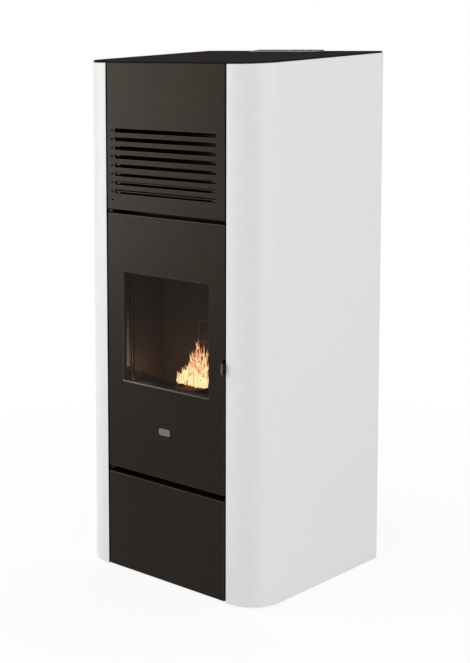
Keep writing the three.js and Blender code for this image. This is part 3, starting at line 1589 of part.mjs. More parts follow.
function controlBoard() {
  const y1 = rearPanelFront - fit;
  const y0 = y1 - boardSheet;
  const left = boardX - boardWidth / 2;
  const right = boardX + boardWidth / 2;
  const foot = boardZ - boardHeight / 2;
  const block = (x, z, width, height, depth) => {
    return box(x, x + width, y0 - depth, y0 + boardSheet / 2, z, z + height);
  };
  const relayLeft = left + boardMargin + transformerWidth + boardMargin;
  return join(
    box(left, right, y0, y1, foot, foot + boardHeight),
    block(left + boardMargin, boardZ + boardMargin, transformerWidth, transformerHeight, transformerDepth),
    block(relayLeft, foot + boardMargin, right - boardMargin - relayLeft, relayHeight, relayDepth),
    block(relayLeft, boardZ + 2 * boardMargin, driverWidth, driverHeight, driverDepth),
  );
}

const rockerZ = inletZ + rockerAboveInlet;
const rockerY = rearPanelBack;

function powerInlet() {
  const half = inletWidth / 2;
  const rise = inletHeight / 2;
  const outside = rearPanelBack + fit;
  const body = box(
    inletX - half, inletX + half, outside - inletDepth, outside + 1, inletZ - rise, inletZ + rise,
  );
  const lip = box(
    inletX - half - inletLip, inletX + half + inletLip, outside, outside + inletLip,
    inletZ - rise - inletLip, inletZ + rise + inletLip,
  );
  const socketZ = inletZ - rockerAboveInlet;
  const socket = box(
    inletX - socketWidth / 2, inletX + socketWidth / 2, outside - 16, outside + inletLip + 1,
    socketZ - socketHeight / 2, socketZ + socketHeight / 2,
  );
  const rockerRoom = box(
    inletX - rockerWidth / 2 - fit, inletX + rockerWidth / 2 + fit,
    rockerY - rockerRadius - 1, outside + inletLip + 1,
    rockerZ - rockerRadius - 0.5, rockerZ + rockerRadius + 0.5,
  );
  const pins = [-6, 0, 6].map((x) => {
    return box(inletX + x - 1, inletX + x + 1, outside - 17, outside - 4, socketZ - 3, socketZ + 3);
  });
  return join(cut(join(body, lip), socket, rockerRoom), ...pins);
}

// Rocker: a round bar with a shallow hollow across its face.
function powerSwitch() {
  const half = rockerWidth / 2;
  const bar = rodX(rockerRadius, inletX - half, inletX + half, rockerY, rockerZ, 28);
  const hollow = rodX(
    3 * rockerRadius, inletX - half - 1, inletX + half + 1,
    rockerY + 3.7 * rockerRadius, rockerZ, 48,
  );
  return cut(bar, hollow);
}

place("control_board", controlBoard(), circuitGreen);
place("power_inlet", powerInlet(), blackPlastic);
place("power_switch", powerSwitch(), blackPlastic);

export default stove;
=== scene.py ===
# %% [markdown]
# # A pellet stove, dressed
# The solids of the stove arrive as a fixed frame: every sheet, hinge and fan at its real size and
# place. This script gives them their finishes, softens the folded edges that light catches, and
# adds what a solid model leaves plain: the fire, the rope that seals the door, the screws and the
# small bare plate.

# %% Load the frame and keep its size
import json
import math
import random

import bmesh
import bpy
from mathutils import Matrix, Vector


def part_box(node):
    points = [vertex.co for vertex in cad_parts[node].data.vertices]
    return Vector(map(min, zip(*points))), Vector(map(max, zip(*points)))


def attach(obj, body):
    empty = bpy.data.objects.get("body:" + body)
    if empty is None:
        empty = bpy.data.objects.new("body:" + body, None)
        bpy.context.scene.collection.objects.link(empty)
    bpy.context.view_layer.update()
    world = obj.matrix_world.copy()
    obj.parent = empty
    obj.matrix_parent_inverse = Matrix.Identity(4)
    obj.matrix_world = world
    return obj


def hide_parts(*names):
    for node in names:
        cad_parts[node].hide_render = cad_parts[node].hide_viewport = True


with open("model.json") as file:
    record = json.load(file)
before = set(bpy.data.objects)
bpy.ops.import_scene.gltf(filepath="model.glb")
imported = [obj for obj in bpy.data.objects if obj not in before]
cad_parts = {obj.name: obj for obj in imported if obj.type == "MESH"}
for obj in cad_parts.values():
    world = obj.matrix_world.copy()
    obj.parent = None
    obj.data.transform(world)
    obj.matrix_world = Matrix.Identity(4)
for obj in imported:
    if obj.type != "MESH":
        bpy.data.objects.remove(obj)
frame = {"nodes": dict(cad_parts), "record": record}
nodes = frame["nodes"]
bodies = frame["record"]["behaviour"]["bodies"]
body_of_node = {node: body for body, names in bodies.items() for node in names}
slot_of = {part["node"]: part["material_slot"] for part in frame["record"]["subparts"]}
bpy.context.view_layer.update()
scene = bpy.context.scene
dice = random.Random(7)  # one seed, so every run gives the same fire

# %% [markdown]
# ## The view
# The photo was taken from the right of the door, with the camera about as high as the stove. Its
# upright edges run parallel, so the picture plane was upright too and a lens shift kept the stove
# in frame. All of that shift would cut the stove off in views from other sides. Here a part of it
# stays a shift and a small tilt does the rest.

# %% Camera
PHOTO_HEIGHT = 663  # pixels on the longer side, which the sensor width spans
FOCAL_PIXELS = 1388.44
SENSOR_MM = 36


def add_object(name, data):
    thing = bpy.data.objects.new(name, data)
    scene.collection.objects.link(thing)
    return thing


def stand_camera(place, azimuth, pitch, roll, shift_y):
    """place is in metres; azimuth turns the camera and pitch tilts it down, in degrees."""
    data = bpy.data.cameras.new("photo_camera")
    data.sensor_width = SENSOR_MM
    data.lens = FOCAL_PIXELS * SENSOR_MM / PHOTO_HEIGHT
    data.shift_y = shift_y
    camera = add_object("photo_camera", data)
    turn = (
        Matrix.Rotation(math.radians(azimuth), 4, "Z")
        @ Matrix.Rotation(math.radians(90 - pitch), 4, "X")
        @ Matrix.Rotation(math.radians(roll), 4, "Z")
    )
    camera.matrix_world = Matrix.Translation(place) @ turn
    scene.camera = camera
    return camera


camera = stand_camera(
    place=(2.34666, -2.67815, 1.32967), azimuth=41.0745, pitch=6.2815, roll=0.129, shift_y=-0.19
)
scene.view_settings.view_transform = "Standard"
print("lens", round(camera.data.lens, 2), "mm")

# %% [markdown]
# ## Writing finishes as sums
# A finish is a small graph of nodes. Each node could be made and wired by hand, but a mask of five
# terms is then thirty lines. Here one class wraps a socket, so that masks are written as
# arithmetic, and another makes any node with its inputs and settings in one call.

# %% Sums of sockets
class Value:
    """A socket that carries a number, with the operators that masks need."""

    def __init__(self, finish, socket):
        self.finish, self.socket = finish, socket

    def math(self, operation, first, second):
        node = self.finish.node("ShaderNodeMath", {0: first, 1: second}, operation=operation)
        return Value(self.finish, node.outputs[0])

    def __add__(self, other):
        return self.math("ADD", self, other)

    def __radd__(self, other):
        return self.math("ADD", other, self)

    def __sub__(self, other):
        return self.math("SUBTRACT", self, other)

    def __rsub__(self, other):
        return self.math("SUBTRACT", other, self)

    def __mul__(self, other):
        return self.math("MULTIPLY", self, other)

    def __truediv__(self, other):
        return self.math("DIVIDE", self, other)

    def __pow__(self, other):
        return self.math("POWER", self, other)

    def clamped(self):
        return self.math("MINIMUM", self.math("MAXIMUM", self, 0.0), 1.0)


print("sums ready")

# %% Nodes of a finish
class Finish:
    """A material or world being made: node() takes a kind, its inputs and its settings."""

    def __init__(self, name, world=False):
        self.owner = (bpy.data.worlds if world else bpy.data.materials).new(name)
        self.owner.use_nodes = True
        self.tree = self.owner.node_tree
        self.tree.nodes.clear()
        self.end = self.node("ShaderNodeOutputWorld" if world else "ShaderNodeOutputMaterial")

    def node(self, kind, inputs=None, **settings):
        made = self.tree.nodes.new(kind)
        for key, value in settings.items():
            setattr(made, key, value)
        for key, value in (inputs or {}).items():
            self.put(made.inputs[key], value)
        return made

    def put(self, socket, value):
        """Links what varies and sets what doesn't; a colour is given as three channels."""
        if isinstance(value, Value):
            value = value.socket
        if isinstance(value, bpy.types.NodeSocket):
            self.tree.links.new(value, socket)
        elif socket.type == "RGBA":
            socket.default_value = (*value, 1)
        else:
            socket.default_value = value

    def place(self):
        return self.node("ShaderNodeTexCoord").outputs["Object"]

    def axis(self, letter):
        """Metres along one axis of the stove: X to the right, Y to the rear, Z up."""
        return Value(self, self.node("ShaderNodeSeparateXYZ", {0: self.place()}).outputs[letter])

    def noise(self, per_metre, detail=3.0, roughness=0.55, stretch=(1, 1, 1)):
        """A stretch below 1 draws the noise out along that axis."""
        moved = self.node("ShaderNodeMapping", {"Vector": self.place(), "Scale": stretch})
        grain = {"Scale": per_metre, "Detail": detail, "Roughness": roughness}
        made = self.node("ShaderNodeTexNoise", {"Vector": moved.outputs[0], **grain})
        return Value(self, made.outputs["Fac"])

    def facing(self):
        """0 where the surface faces the ray, rising to 1 where it turns away."""
        return Value(self, self.node("ShaderNodeLayerWeight", {"Blend": 0.5}).outputs["Facing"])

    def blend(self, factor, first, second):
        """From the first colour to the second; 6 and 7 are a Mix node's colour inputs."""
        inputs = {0: factor, 6: first, 7: second}
        return self.node("ShaderNodeMix", inputs, data_type="RGBA").outputs[2]

    def bump(self, height, strength, distance):
        inputs = {"Strength": strength, "Distance": distance, "Height": height}
        return self.node("ShaderNodeBump", inputs).outputs[0]

    def mixed(self, amount, first, second):
        return self.node("ShaderNodeMixShader", {0: amount, 1: first, 2: second}).outputs[0]

    def closed(self, shader):
        """Ends the graph with this shader and returns the material or world."""
        self.put(self.end.inputs["Surface"], shader)
        return self.owner

    def surface(self, **inputs):
        named = {key.replace("_", " "): value for key, value in inputs.items()}
        return self.closed(self.node("ShaderNodeBsdfPrincipled", named).outputs[0])


print("nodes ready")

# %% [markdown]
# ## Powder coats
# The front is a dark brown-black textured coat, and the side panels are a smooth satin white. Both
# are powder, sprayed on and baked. A plain colour would look like plastic, and real grain in the
# mesh would be far too heavy. So one recipe serves every coat: grain in the bump, and some drift
# in colour and in roughness, each row of the table at its own scale.

# %% Coated sheet
def scaled(colour, factor):
    """A darker or lighter colour, with no channel above 1."""
    return tuple(min(1.0, channel * factor) for channel in colour)


def coated_sheet(name, colour, drift, roughness, grain, depth, gloss=0.5, tint=(1.0, 1.0, 1.0)):
    """drift is the share by which the colour varies; grain is per metre, depth in metres."""
    finish = Finish(name)
    slow = finish.noise(4.0, 2.0)
    fine = finish.noise(grain, 4.0, 0.7)
    speck = finish.noise(grain * 0.3, 4.0, 0.75)
    peel = finish.noise(grain * 0.13, 3.0, 0.6)
    sand = fine * 0.3 + speck * 0.3 + peel * 0.4
    tone = ((slow * 0.35 + speck * 0.65 - 0.5) * 1.8 + 0.5).clamped()
    return finish.surface(
        Base_Color=finish.blend(tone, scaled(colour, 1 - drift), scaled(colour, 1 + drift)),
        Roughness=(roughness + (speck - 0.5) * 0.3).clamped(),
        Specular_IOR_Level=gloss,
        Specular_Tint=tint,
        Normal=finish.bump(sand, 0.6, depth),
    )


COATS = {
    # name: colour, drift, roughness, grain, depth, gloss, tint of the gloss
    "dark_paint": ((0.0092, 0.0060, 0.0038), 0.75, 0.32, 900, 0.0008, 0.125, (1.0, 0.80, 0.63)),
    "top_paint": ((0.0165, 0.0150, 0.0135), 0.4, 0.88, 900, 0.0003, 0.008),
    "white_paint": ((0.78, 0.779, 0.778), 0.012, 0.42, 500, 0.00003),
    "grey_trim": ((0.29, 0.268, 0.25), 0.06, 0.85, 700, 0.00006, 0.02),
    # the lever's front face: a lighter copy of the dark coat, as painted light on the face the
    # lamps reach
    "lever_face_painted_light": ((0.075, 0.07, 0.066), 0.06, 0.4, 700, 0.00006, 0.3),
    "plate_field": ((0.17, 0.148, 0.125), 0.08, 0.5, 900, 0.00006, 0.2),
}
finishes = {name: coated_sheet(name, *row) for name, row in COATS.items()}
print("coats", sorted(finishes))

# %% [markdown]
# ## Bare metals
# Inside, nothing has a coat of paint. Steel parts are brushed, dusty or black with ash, and the
# black of the ash drawer and chute is also painted shade for the gaps that show them. Cast iron is
# pitted and sooty, and galvanised sheet shows the broad crystals of its zinc. Outside, the bevels
# of the front get a lighter metal as a painted highlight. Noise stands for grain and dirt. Cells of
# a
# Voronoi texture stand for the crystals, because both have straight borders.

# %% Plain metals
def metal(name, colour, roughness, grain, streak=(1, 1, 1)):
    """Bare metal: grain is the noise per metre, and streak is its stretch along each axis."""
    finish = Finish(name)
    brushed = finish.noise(grain, 4.0, 0.6, streak)
    patch = finish.noise(9.0, 3.0)
    return finish.surface(
        Base_Color=finish.blend(patch, scaled(colour, 0.88), colour),
        Metallic=1.0,
        Roughness=(roughness + (brushed - 0.5) * 0.25).clamped(),
        Normal=finish.bump(brushed, 0.2, 0.0001),
    )


METALS = {
    # name: colour, roughness, grain, streak
    "bare_steel": ((0.5, 0.5, 0.5), 0.38, 300, (1, 1, 0.1)),
    "dull_steel": ((0.24, 0.225, 0.21), 0.42, 500, (0.2, 1, 1)),
    # a lighter metal for the bevels of the front's folds: a painted highlight along them
    "edge_highlight_metal": ((0.052, 0.047, 0.042), 0.4, 500),
    "dusty_steel": ((0.16, 0.15, 0.135), 0.62, 160),
    # near-black: ash, and painted shade for the gaps that show the ash drawer and chute
    "ash_and_shade_steel": ((0.012, 0.011, 0.010), 0.7, 120),
}
finishes.update({name: metal(name, *row) for name, row in METALS.items()})
print("metals", sorted(METALS))

# %% Painted sill highlight, cast and galvanised metal
SILL_HIGHLIGHT_Y = -0.2452  # metres: the sill's painted highlight lies in front of this
SILL_SPAN = 0.3  # metres: the painted highlight fades across this width


def sill_highlight():
    """The window's lower rim: bare metal on its front half, with a painted highlight that is
    stronger at the hinge side.
    """
    finish = Finish("sill_highlight")
    lip = ((SILL_HIGHLIGHT_Y - finish.axis("Y")) * 2500).clamped()
    side = (0.5 - finish.axis("X") / SILL_SPAN).clamped()
    grain = finish.noise(400, 3.0)
    bright = finish.blend(side, (0.15, 0.14, 0.13), (0.46, 0.44, 0.41))
    return finish.surface(
        Base_Color=finish.blend(lip, (0.012, 0.009, 0.007), bright),
        Metallic=lip,
        Roughness=(0.42 + (grain - 0.5) * 0.1).clamped(),
    )


def cast_iron():
    """Coarse pits, a dull face, and soot that thickens with height."""
    finish = Finish("cast_iron")
    pits = finish.noise(420, 5.0, 0.65)
    soot = (finish.noise(14, 4.0) * 0.8 + finish.axis("Z") * 0.25).clamped()
    return finish.surface(
        Base_Color=finish.blend(soot, (0.05, 0.045, 0.042), (0.012, 0.011, 0.010)),
        Metallic=0.35,
        Roughness=(0.72 + (pits - 0.5) * 0.2).clamped(),
        Normal=finish.bump(pits, 0.5, 0.0005),
    )


def galvanised_sheet():
    """Broad crystals of zinc that differ a little in tone and in gloss."""
    finish = Finish("galvanised")
    crystals = finish.node("ShaderNodeTexVoronoi", {"Vector": finish.place(), "Scale": 130.0})
    grey = finish.node("ShaderNodeSeparateColor", {0: crystals.outputs["Color"]})
    tone = Value(finish, grey.outputs[0])
    return finish.surface(
        Base_Color=finish.blend(tone, (0.45, 0.465, 0.475), (0.56, 0.575, 0.585)),
        Metallic=1.0,
        Roughness=(0.38 + tone * 0.16).clamped(),
        Normal=finish.bump(finish.noise(60, 2.0), 0.05, 0.0005),
    )


finishes["sill_highlight"] = sill_highlight()
finishes["cast_iron"] = cast_iron()
finishes["galvanised"] = galvanised_sheet()
print("finishes so far", len(finishes))

# %% [markdown]
# ## Lining, rope and plastics
# The fire box is lined with pressed board. Its colour is browner near the hearth and darker above:
# painted light of the fire, fading with height into a sooty tone. The seals are woven rope.
# Buttons, feet and motor covers are moulded, and the control board is a laminate. The fire's own
# light on the lining, the chute and the door frame is weak and soft. A lamp alone would leave grain
# there, so most of that light is painted in as a faint glow, which fades away from the fire where
# it shows most.

# %% Surfaces that the fire lights
HEARTH_Z = 0.47  # metres: the lining is brownest at this height
LIT_RISE = 0.2  # metres: and darker and sooty this far above it, where the painted fire light has faded


def lining_board():
    finish = Finish("lining")
    grain = finish.noise(160, 5.0, 0.65)
    cloud = finish.noise(11, 3.0)
    # low is the fire's light, painted in: it browns the board and makes it glow near the hearth,
    # and fades with height
    low = (1 - (finish.axis("Z") - HEARTH_Z) / LIT_RISE + (cloud - 0.5) * 0.6).clamped()
    tone = (grain * 0.4 + low * 0.6).clamped()
    return finish.surface(
        Base_Color=finish.blend(tone, (0.033, 0.024, 0.0195), (0.085, 0.052, 0.030)),
        Roughness=0.9,
        Emission_Color=finish.blend(low ** 1.4, (0.003, 0.002, 0.0015), (0.007, 0.003, 0.0008)),
        Emission_Strength=1.0,
        Normal=finish.bump(grain, 0.6, 0.0012),
    )


def firelit_frame(low, high, front, back):
    """Edge of the frame behind the glass: its light fades upward, and rearward to back."""
    finish = Finish("firelit_frame")
    inward = ((back - finish.axis("Y")) / (back - front)).clamped()
    height = finish.axis("Z")
    grain = finish.noise(300, 3.0)
    fade = ((high - height) / (high - low)).clamped() ** 1.3
    foot = ((height - low) * 300).clamped()
    lit = fade * foot * inward
    return finish.surface(
        Base_Color=finish.blend(grain, (0.010, 0.008, 0.006), (0.016, 0.012, 0.009)),
        Roughness=0.6,
        Emission_Color=finish.blend(lit, (0.002, 0.0013, 0.0008), (0.200, 0.144, 0.092)),
        Emission_Strength=1.0,
    )


def chute_steel():
    """Steel of the pellet chute: brown with heat, and faintly lit by the fire at its mouth."""
    finish = Finish("chute_steel")
    cloud = finish.noise(60, 4.0, 0.6)
    return finish.surface(
        Base_Color=finish.blend(cloud, (0.065, 0.047, 0.036), (0.095, 0.07, 0.053)),
        Roughness=0.8,
        Emission_Color=finish.blend(cloud, (0.0155, 0.0090, 0.0055), (0.0185, 0.0112, 0.0070)),
        Emission_Strength=1.0,
        Normal=finish.bump(cloud, 0.3, 0.0004),
    )


finishes["lining"] = lining_board()
finishes["chute_steel"] = chute_steel()
print("finishes so far", len(finishes))

# %% Rope and plastics
def woven_rope(name, dark, light):
    finish = Finish(name)
    twist = finish.node(
        "ShaderNodeTexWave",
        {"Vector": finish.place(), "Scale": 150.0, "Distortion": 1.5, "Detail": 2.0},
        bands_direction="DIAGONAL",
    )
    strand = Value(finish, twist.outputs["Fac"])
    return finish.surface(
        Base_Color=finish.blend(strand, dark, light),
        Roughness=0.95,
        Normal=finish.bump(strand, 0.7, 0.0008),
    )


def moulded(name, colour, roughness):
    finish = Finish(name)
    grain = finish.noise(1400, 3.0, 0.6)
    return finish.surface(
        Base_Color=finish.blend(grain, scaled(colour, 0.85), colour),
        Roughness=(roughness + (grain - 0.5) * 0.12).clamped(),
        Normal=finish.bump(grain, 0.25, 0.0001),
    )


finishes["rope"] = woven_rope("rope", (0.09, 0.076, 0.058), (0.27, 0.225, 0.17))
finishes["black_rope"] = woven_rope("black_rope", (0.014, 0.013, 0.012), (0.05, 0.047, 0.043))
finishes["black_plastic"] = moulded("black_plastic", (0.022, 0.022, 0.023), 0.5)
finishes["board"] = moulded("board", (0.02, 0.09, 0.04), 0.45)
print("finishes so far", len(finishes))

# %% [markdown]
# ## Glass
# The door's pane is thin ceramic glass, smoked a little and never quite clean. Real refraction
# would bend a ray in and out again by the same angle, at the price of much noise. So the pane is
# written as a clear tinted sheet, with the room light that dust on it sends back painted in as a
# faint even glow, and with a reflection only at grazing angles. The console's display is a grey
# window with a faint even glow and no characters.

# %% Glass
DUST_HAZE = 0.0055  # the share of room light that dust on the pane sends back at every angle
FEWEST_MIRRORED = 0.003  # a rarer reflection would only make grain


def fire_glass():
    finish = Finish("fire_glass")
    clear = finish.node("ShaderNodeBsdfTransparent", {"Color": (0.80, 0.77, 0.74)})
    dust = finish.node("ShaderNodeEmission", {"Color": (1.0, 0.97, 0.94), "Strength": 1.0})
    shine = finish.node("ShaderNodeBsdfGlossy", {"Color": (1, 1, 1), "Roughness": 0.03})
    pane = finish.mixed(DUST_HAZE, clear.outputs[0], dust.outputs[0])
    mirrored = (finish.facing() ** 5 * 0.45 - FEWEST_MIRRORED).clamped()
    return finish.closed(finish.mixed(mirrored, pane, shine.outputs[0]))


def display_glass():
    finish = Finish("display_glass")
    cloud = finish.noise(20, 1.0)
    return finish.surface(
        Base_Color=finish.blend(cloud, (0.19, 0.18, 0.17), (0.22, 0.21, 0.20)),
        Roughness=0.8,
        Specular_IOR_Level=0.02,
        Emission_Color=finish.blend(cloud, (0.0, 0.004, 0.008), (0.0, 0.01, 0.018)),
        Emission_Strength=1.0,
    )


finishes["fire_glass"] = fire_glass()
finishes["display_glass"] = display_glass()
print("finishes", len(finishes))

# %% [markdown]
# ## Dressing the solids
# Each solid belongs to a slot, and the slot names its finish. A few solids share a slot with
# others and still look different, such as the ash drawer, which is black with ash and with painted
# shade for the gap in front of it. They could have had slots of their own, but a slot says what a
# part is made of, not how dirty or how shaded it is painted.

# %% Finishes on every solid
# the ash drawer and chute are near-black: ash, and painted shade where the gaps show them
DRESSED_APART = {
    "display_window": "display_glass", "glass_gasket": "black_rope", "lid_seal": "black_rope",
    "pellet_chute": "chute_steel", "hopper": "dusty_steel", "ash_drawer": "ash_and_shade_steel",
    "ash_chute": "ash_and_shade_steel",
}


def dress(thing, material):
    thing.data.materials.clear()
    thing.data.materials.append(material)


for name, thing in nodes.items():
    dress(thing, finishes[DRESSED_APART.get(name, slot_of[name])])
print("dressed", len(nodes))

# %% [markdown]
# ## Softened edges
# Real sheet has no knife edges: every fold and every cut is rounded a little, and light runs along
# it. The solids are sharp and are triangles. So a copy of each solid that shows has its triangles
# joined back to whole faces, and a narrow bevel then rounds its edges. Bevelling the triangles as
# they are would leave slivers at the corners.

# %% Softened copies
EDGE_WIDTHS_MM = {
    "left_side_panel": 0.9, "right_side_panel": 0.9, "top_plate": 0.8, "hopper_lid": 0.8,
    "upper_front_panel": 0.6, "lower_front_panel": 1.2, "door_panel": 1.2, "door_handle": 0.9,
    "control_console": 0.8, "power_button": 0.5, "minus_button": 0.5, "plus_button": 0.5,
    "door_frame": 0.8, "burn_pot": 0.8, "hearth_plate": 0.4, "pot_holder": 0.5, "baffle": 0.8,
    "liner_left": 0.5, "liner_right": 0.5, "liner_back": 0.5, "outlet_louvre": 0.3,
    "ash_drawer": 0.4, "flue_spigot": 0.4, "power_inlet": 0.5, "power_switch": 0.4,
    "hinge_lower": 0.4, "hinge_upper": 0.4, "rear_panel": 0.3, "base_plate": 0.4, "hopper": 0.3,
}
WELD_REACH = 2e-6  # metres
FLAT_ANGLE = math.radians(0.4)
BEVEL_ANGLE = math.radians(35)
SHARP_ANGLE = math.radians(50)


def whole_faces(mesh):
    """Joins the triangles of a solid back to flat faces."""
    work = bmesh.new()
    work.from_mesh(mesh)
    bmesh.ops.remove_doubles(work, verts=work.verts, dist=WELD_REACH)
    bmesh.ops.dissolve_limit(
        work, angle_limit=FLAT_ANGLE, verts=work.verts, edges=work.edges,
        use_dissolve_boundaries=False,
    )
    work.to_mesh(mesh)
    work.free()


def settle(thing, modifier_names):
    """Applies modifiers, so that the kept mesh is the one that shows."""
    bpy.context.view_layer.objects.active = thing
    for name in modifier_names:
        with bpy.context.temp_override(object=thing, active_object=thing, selected_objects=[thing]):
            bpy.ops.object.modifier_apply(modifier=name)


def soften(node, width_mm):
    mesh = nodes[node].data.copy()
    mesh.name = node + "_softened"
    piece = add_object(node + "_softened", mesh)
    whole_faces(mesh)
    rounding = piece.modifiers.new("edges", "BEVEL")
    rounding.width = width_mm / 1000
    rounding.segments = 2
    rounding.limit_method = "ANGLE"
    rounding.angle_limit = BEVEL_ANGLE
    rounding.use_clamp_overlap = False
    settle(piece, ["edges"])
    piece.data.shade_smooth()
    piece.data.set_sharp_from_angle(angle=SHARP_ANGLE)
    weights = piece.modifiers.new("flat_faces", "WEIGHTED_NORMAL")
    weights.keep_sharp = True
    settle(piece, ["flat_faces"])
    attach(piece, body_of_node[node])
    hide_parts(node)
    return piece


softened = {node: soften(node, width) for node, width in EDGE_WIDTHS_MM.items()}
print("softened", len(softened), "solids")

# %% [markdown]
# ## A second finish on some faces
# One sheet can carry two finishes, and each of them here paints light or shade: the white side
# panels turn in beside the front and are painted dark there, as shade in the gap; the bevels of the
# front's folds get a lighter metal, as a painted highlight; the lever's front face is a lighter
# coat, as painted light; the sill of the window carries a painted highlight; and the frame behind
# the glass is painted with the fire's light on the face that looks at the fire. Splitting the
# solids would leave seams. So faces are chosen by where they are and where they look, and get a
# second material.

# %% Choosing faces
PANEL_EDGE_X = 0.2036  # metres: inside this a side panel is dark, painted shade for the gap beside the front
GLASS_LAP = 0.014  # metres: how far the pane reaches behind the door's sheet
glass_low, glass_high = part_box("door_glass")
frame_low, frame_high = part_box("door_frame")
handle_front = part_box("door_handle")[0][1]
sill_height = glass_low[2] + GLASS_LAP
frame_reach = frame_high[1] - glass_high[1]


def panel_return(middle, normal):
    """The strip of a side panel that turns in beside the front."""
    return abs(middle.x) < PANEL_EDGE_X and normal.x * middle.x < -0.9 * abs(middle.x)


def rounded_edge(middle, normal):
    """What the bevel made: its faces look along no axis."""
    return max(abs(part) for part in normal) < 0.985


def lever_front(middle, normal):
    return normal.y < -0.5 and middle.y < handle_front + 0.003


def window_sill(middle, normal):
    on_sill = abs(middle.z - sill_height) < 0.006 and middle.y < glass_low[1]
    return normal.z > 0.5 and on_sill


def frame_face(middle, normal):
    """The left frame bar's face towards the fire, without the bar's outer edge."""
    return normal.x > 0.9 and middle.x < -0.1 and abs(middle.x - frame_low[0]) > 0.012


print("sill height", round(sill_height, 4), "frame behind the glass", round(frame_reach, 4))

# %% Second finishes
def second_finish(piece, material, chosen):
    """Gives material to the faces for which chosen(middle, normal) is true, and counts them."""
    piece.data.materials.append(material)
    index = len(piece.data.materials) - 1
    faces = [face for face in piece.data.polygons if chosen(face.center, face.normal)]
    for face in faces:
        face.material_index = index
    return len(faces)


finishes["firelit_frame"] = firelit_frame(
    low=sill_height + 0.026, high=sill_height + 0.20,
    front=glass_high[1] + 0.35 * frame_reach, back=glass_high[1] + 0.85 * frame_reach,
)
SECOND_FINISHES = (
    # node, finish, which faces; a later row wins on the same face
    # painted shade: the side panels' returns are dark, so the gaps beside the front read dark
    ("left_side_panel", "dark_paint", panel_return),
    ("right_side_panel", "dark_paint", panel_return),
    # painted highlight: the bevels of the front's folds get a lighter metal
    ("door_panel", "edge_highlight_metal", rounded_edge),
    ("lower_front_panel", "edge_highlight_metal", rounded_edge),
    ("upper_front_panel", "edge_highlight_metal", rounded_edge),
    # painted light: the lever's front face is lighter than its sides
    ("door_handle", "lever_face_painted_light", lever_front),
    # painted highlight on the window's sill
    ("door_panel", "sill_highlight", window_sill),
    ("door_frame", "firelit_frame", frame_face),
)
marked = [
    second_finish(softened[node], finishes[finish], chosen)
    for node, finish, chosen in SECOND_FINISHES
]
print("faces with a second finish", marked)

# %% [markdown]
# ## Turned and carried shapes
# Screws, the rope, the bare plate and the flames are all built alike: rings of points, joined from
# one ring to the next. Screws and flames stack their rings along an axis, and the rope carries
# them round the door. Blender's curves could do the same, but rings keep every point in hand.

# %% Rings
def around(count):
    """Evenly spaced angles round a circle."""
    return [2 * math.pi * i / count for i in range(count)]


def join_rings(work, rings, looped=False):
    """Faces between neighbouring rings; the ends are closed unless the rings form a loop."""
    following = rings[1:] + rings[:1] if looped else rings[1:]
    for low, high in zip(rings, following):
        for i in range(len(low)):
            j = (i + 1) % len(low)
            work.faces.new((low[i], low[j], high[j], high[i]))
    if not looped:
        work.faces.new(reversed(rings[0]))
        work.faces.new(rings[-1])


def new_piece(name, work, body, material, smooth_angle=40):
    """Turns the points and faces of work into a piece that rides a body."""
    mesh = bpy.data.meshes.new(name)
    bmesh.ops.recalc_face_normals(work, faces=work.faces)
    work.to_mesh(mesh)
    work.free()
    piece = add_object(name, mesh)
    mesh.shade_smooth()
    mesh.set_sharp_from_angle(angle=math.radians(smooth_angle))
    dress(piece, material)
    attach(piece, body)
    return piece


print("rings ready")

# %% [markdown]
# ## Screws
# Sheet panels are held by small button-head screws with a hexagon socket. A screw is a turned
# shape, so one profile is carried round an axis and its two innermost rings are pulled into a
# hexagon. All screws of a panel are one piece, because they never move apart.

# %% Button-head screws
SCREW_SIDES = 24
SECTOR = math.radians(60)


def hexagon_reach(angle, corner_radius):
    """How far a hexagon reaches at this angle."""
    return corner_radius * math.cos(SECTOR / 2) / math.cos(angle % SECTOR - SECTOR / 2)


def turned_screw(work, place, axis, radius):
    """Adds one closed screw head of this radius, in metres, standing on place along axis."""
    rise = 0.55 * radius
    profile = [
        (radius, 0.0, False), (radius, 0.12 * radius, False), (0.9 * radius, 0.6 * rise, False),
        (0.62 * radius, rise, False), (0.5 * radius, rise, True),
        (0.46 * radius, 0.35 * rise, True),
    ]
    turn = Vector(axis).to_track_quat("Z", "Y").to_matrix()
    rings = []
    for ring_radius, height, six_sided in profile:
        ring = []
        for angle in around(SCREW_SIDES):
            reach = hexagon_reach(angle, ring_radius) if six_sided else ring_radius
            point = Vector((reach * math.cos(angle), reach * math.sin(angle), height))
            ring.append(work.verts.new(turn @ point + Vector(place)))
        rings.append(ring)
    join_rings(work, rings)


def screws(name, body, places, axis, radius=0.0035):
    """Makes one piece of screw heads and returns how many there are."""
    work = bmesh.new()
    for place in places:
        turned_screw(work, place, axis, radius)
    new_piece(name, work, body, finishes["bare_steel"])
    return len(places)


print("screw sides", SCREW_SIDES)

# %% Screws on the panels
FORWARD, REARWARD = (0, -1, 0), (0, 1, 0)
FLUE_SCREW_REACH = 0.042
FLUE_PLATE_DEPTH = 0.0033
DOOR_FRAME_REAR_Y = -0.2289
HINGE_SCREW_X = -0.189
HINGE_LEAF = 0.004  # metres: thickness of the leaf that the screws hold


def middle_and_half(node):
    low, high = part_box(node)
    return (Vector(low) + Vector(high)) / 2, (Vector(high) - Vector(low)) / 2


def both_sides(x, y, heights):
    return [(side * x, y, height) for side in (-1, 1) for height in heights]


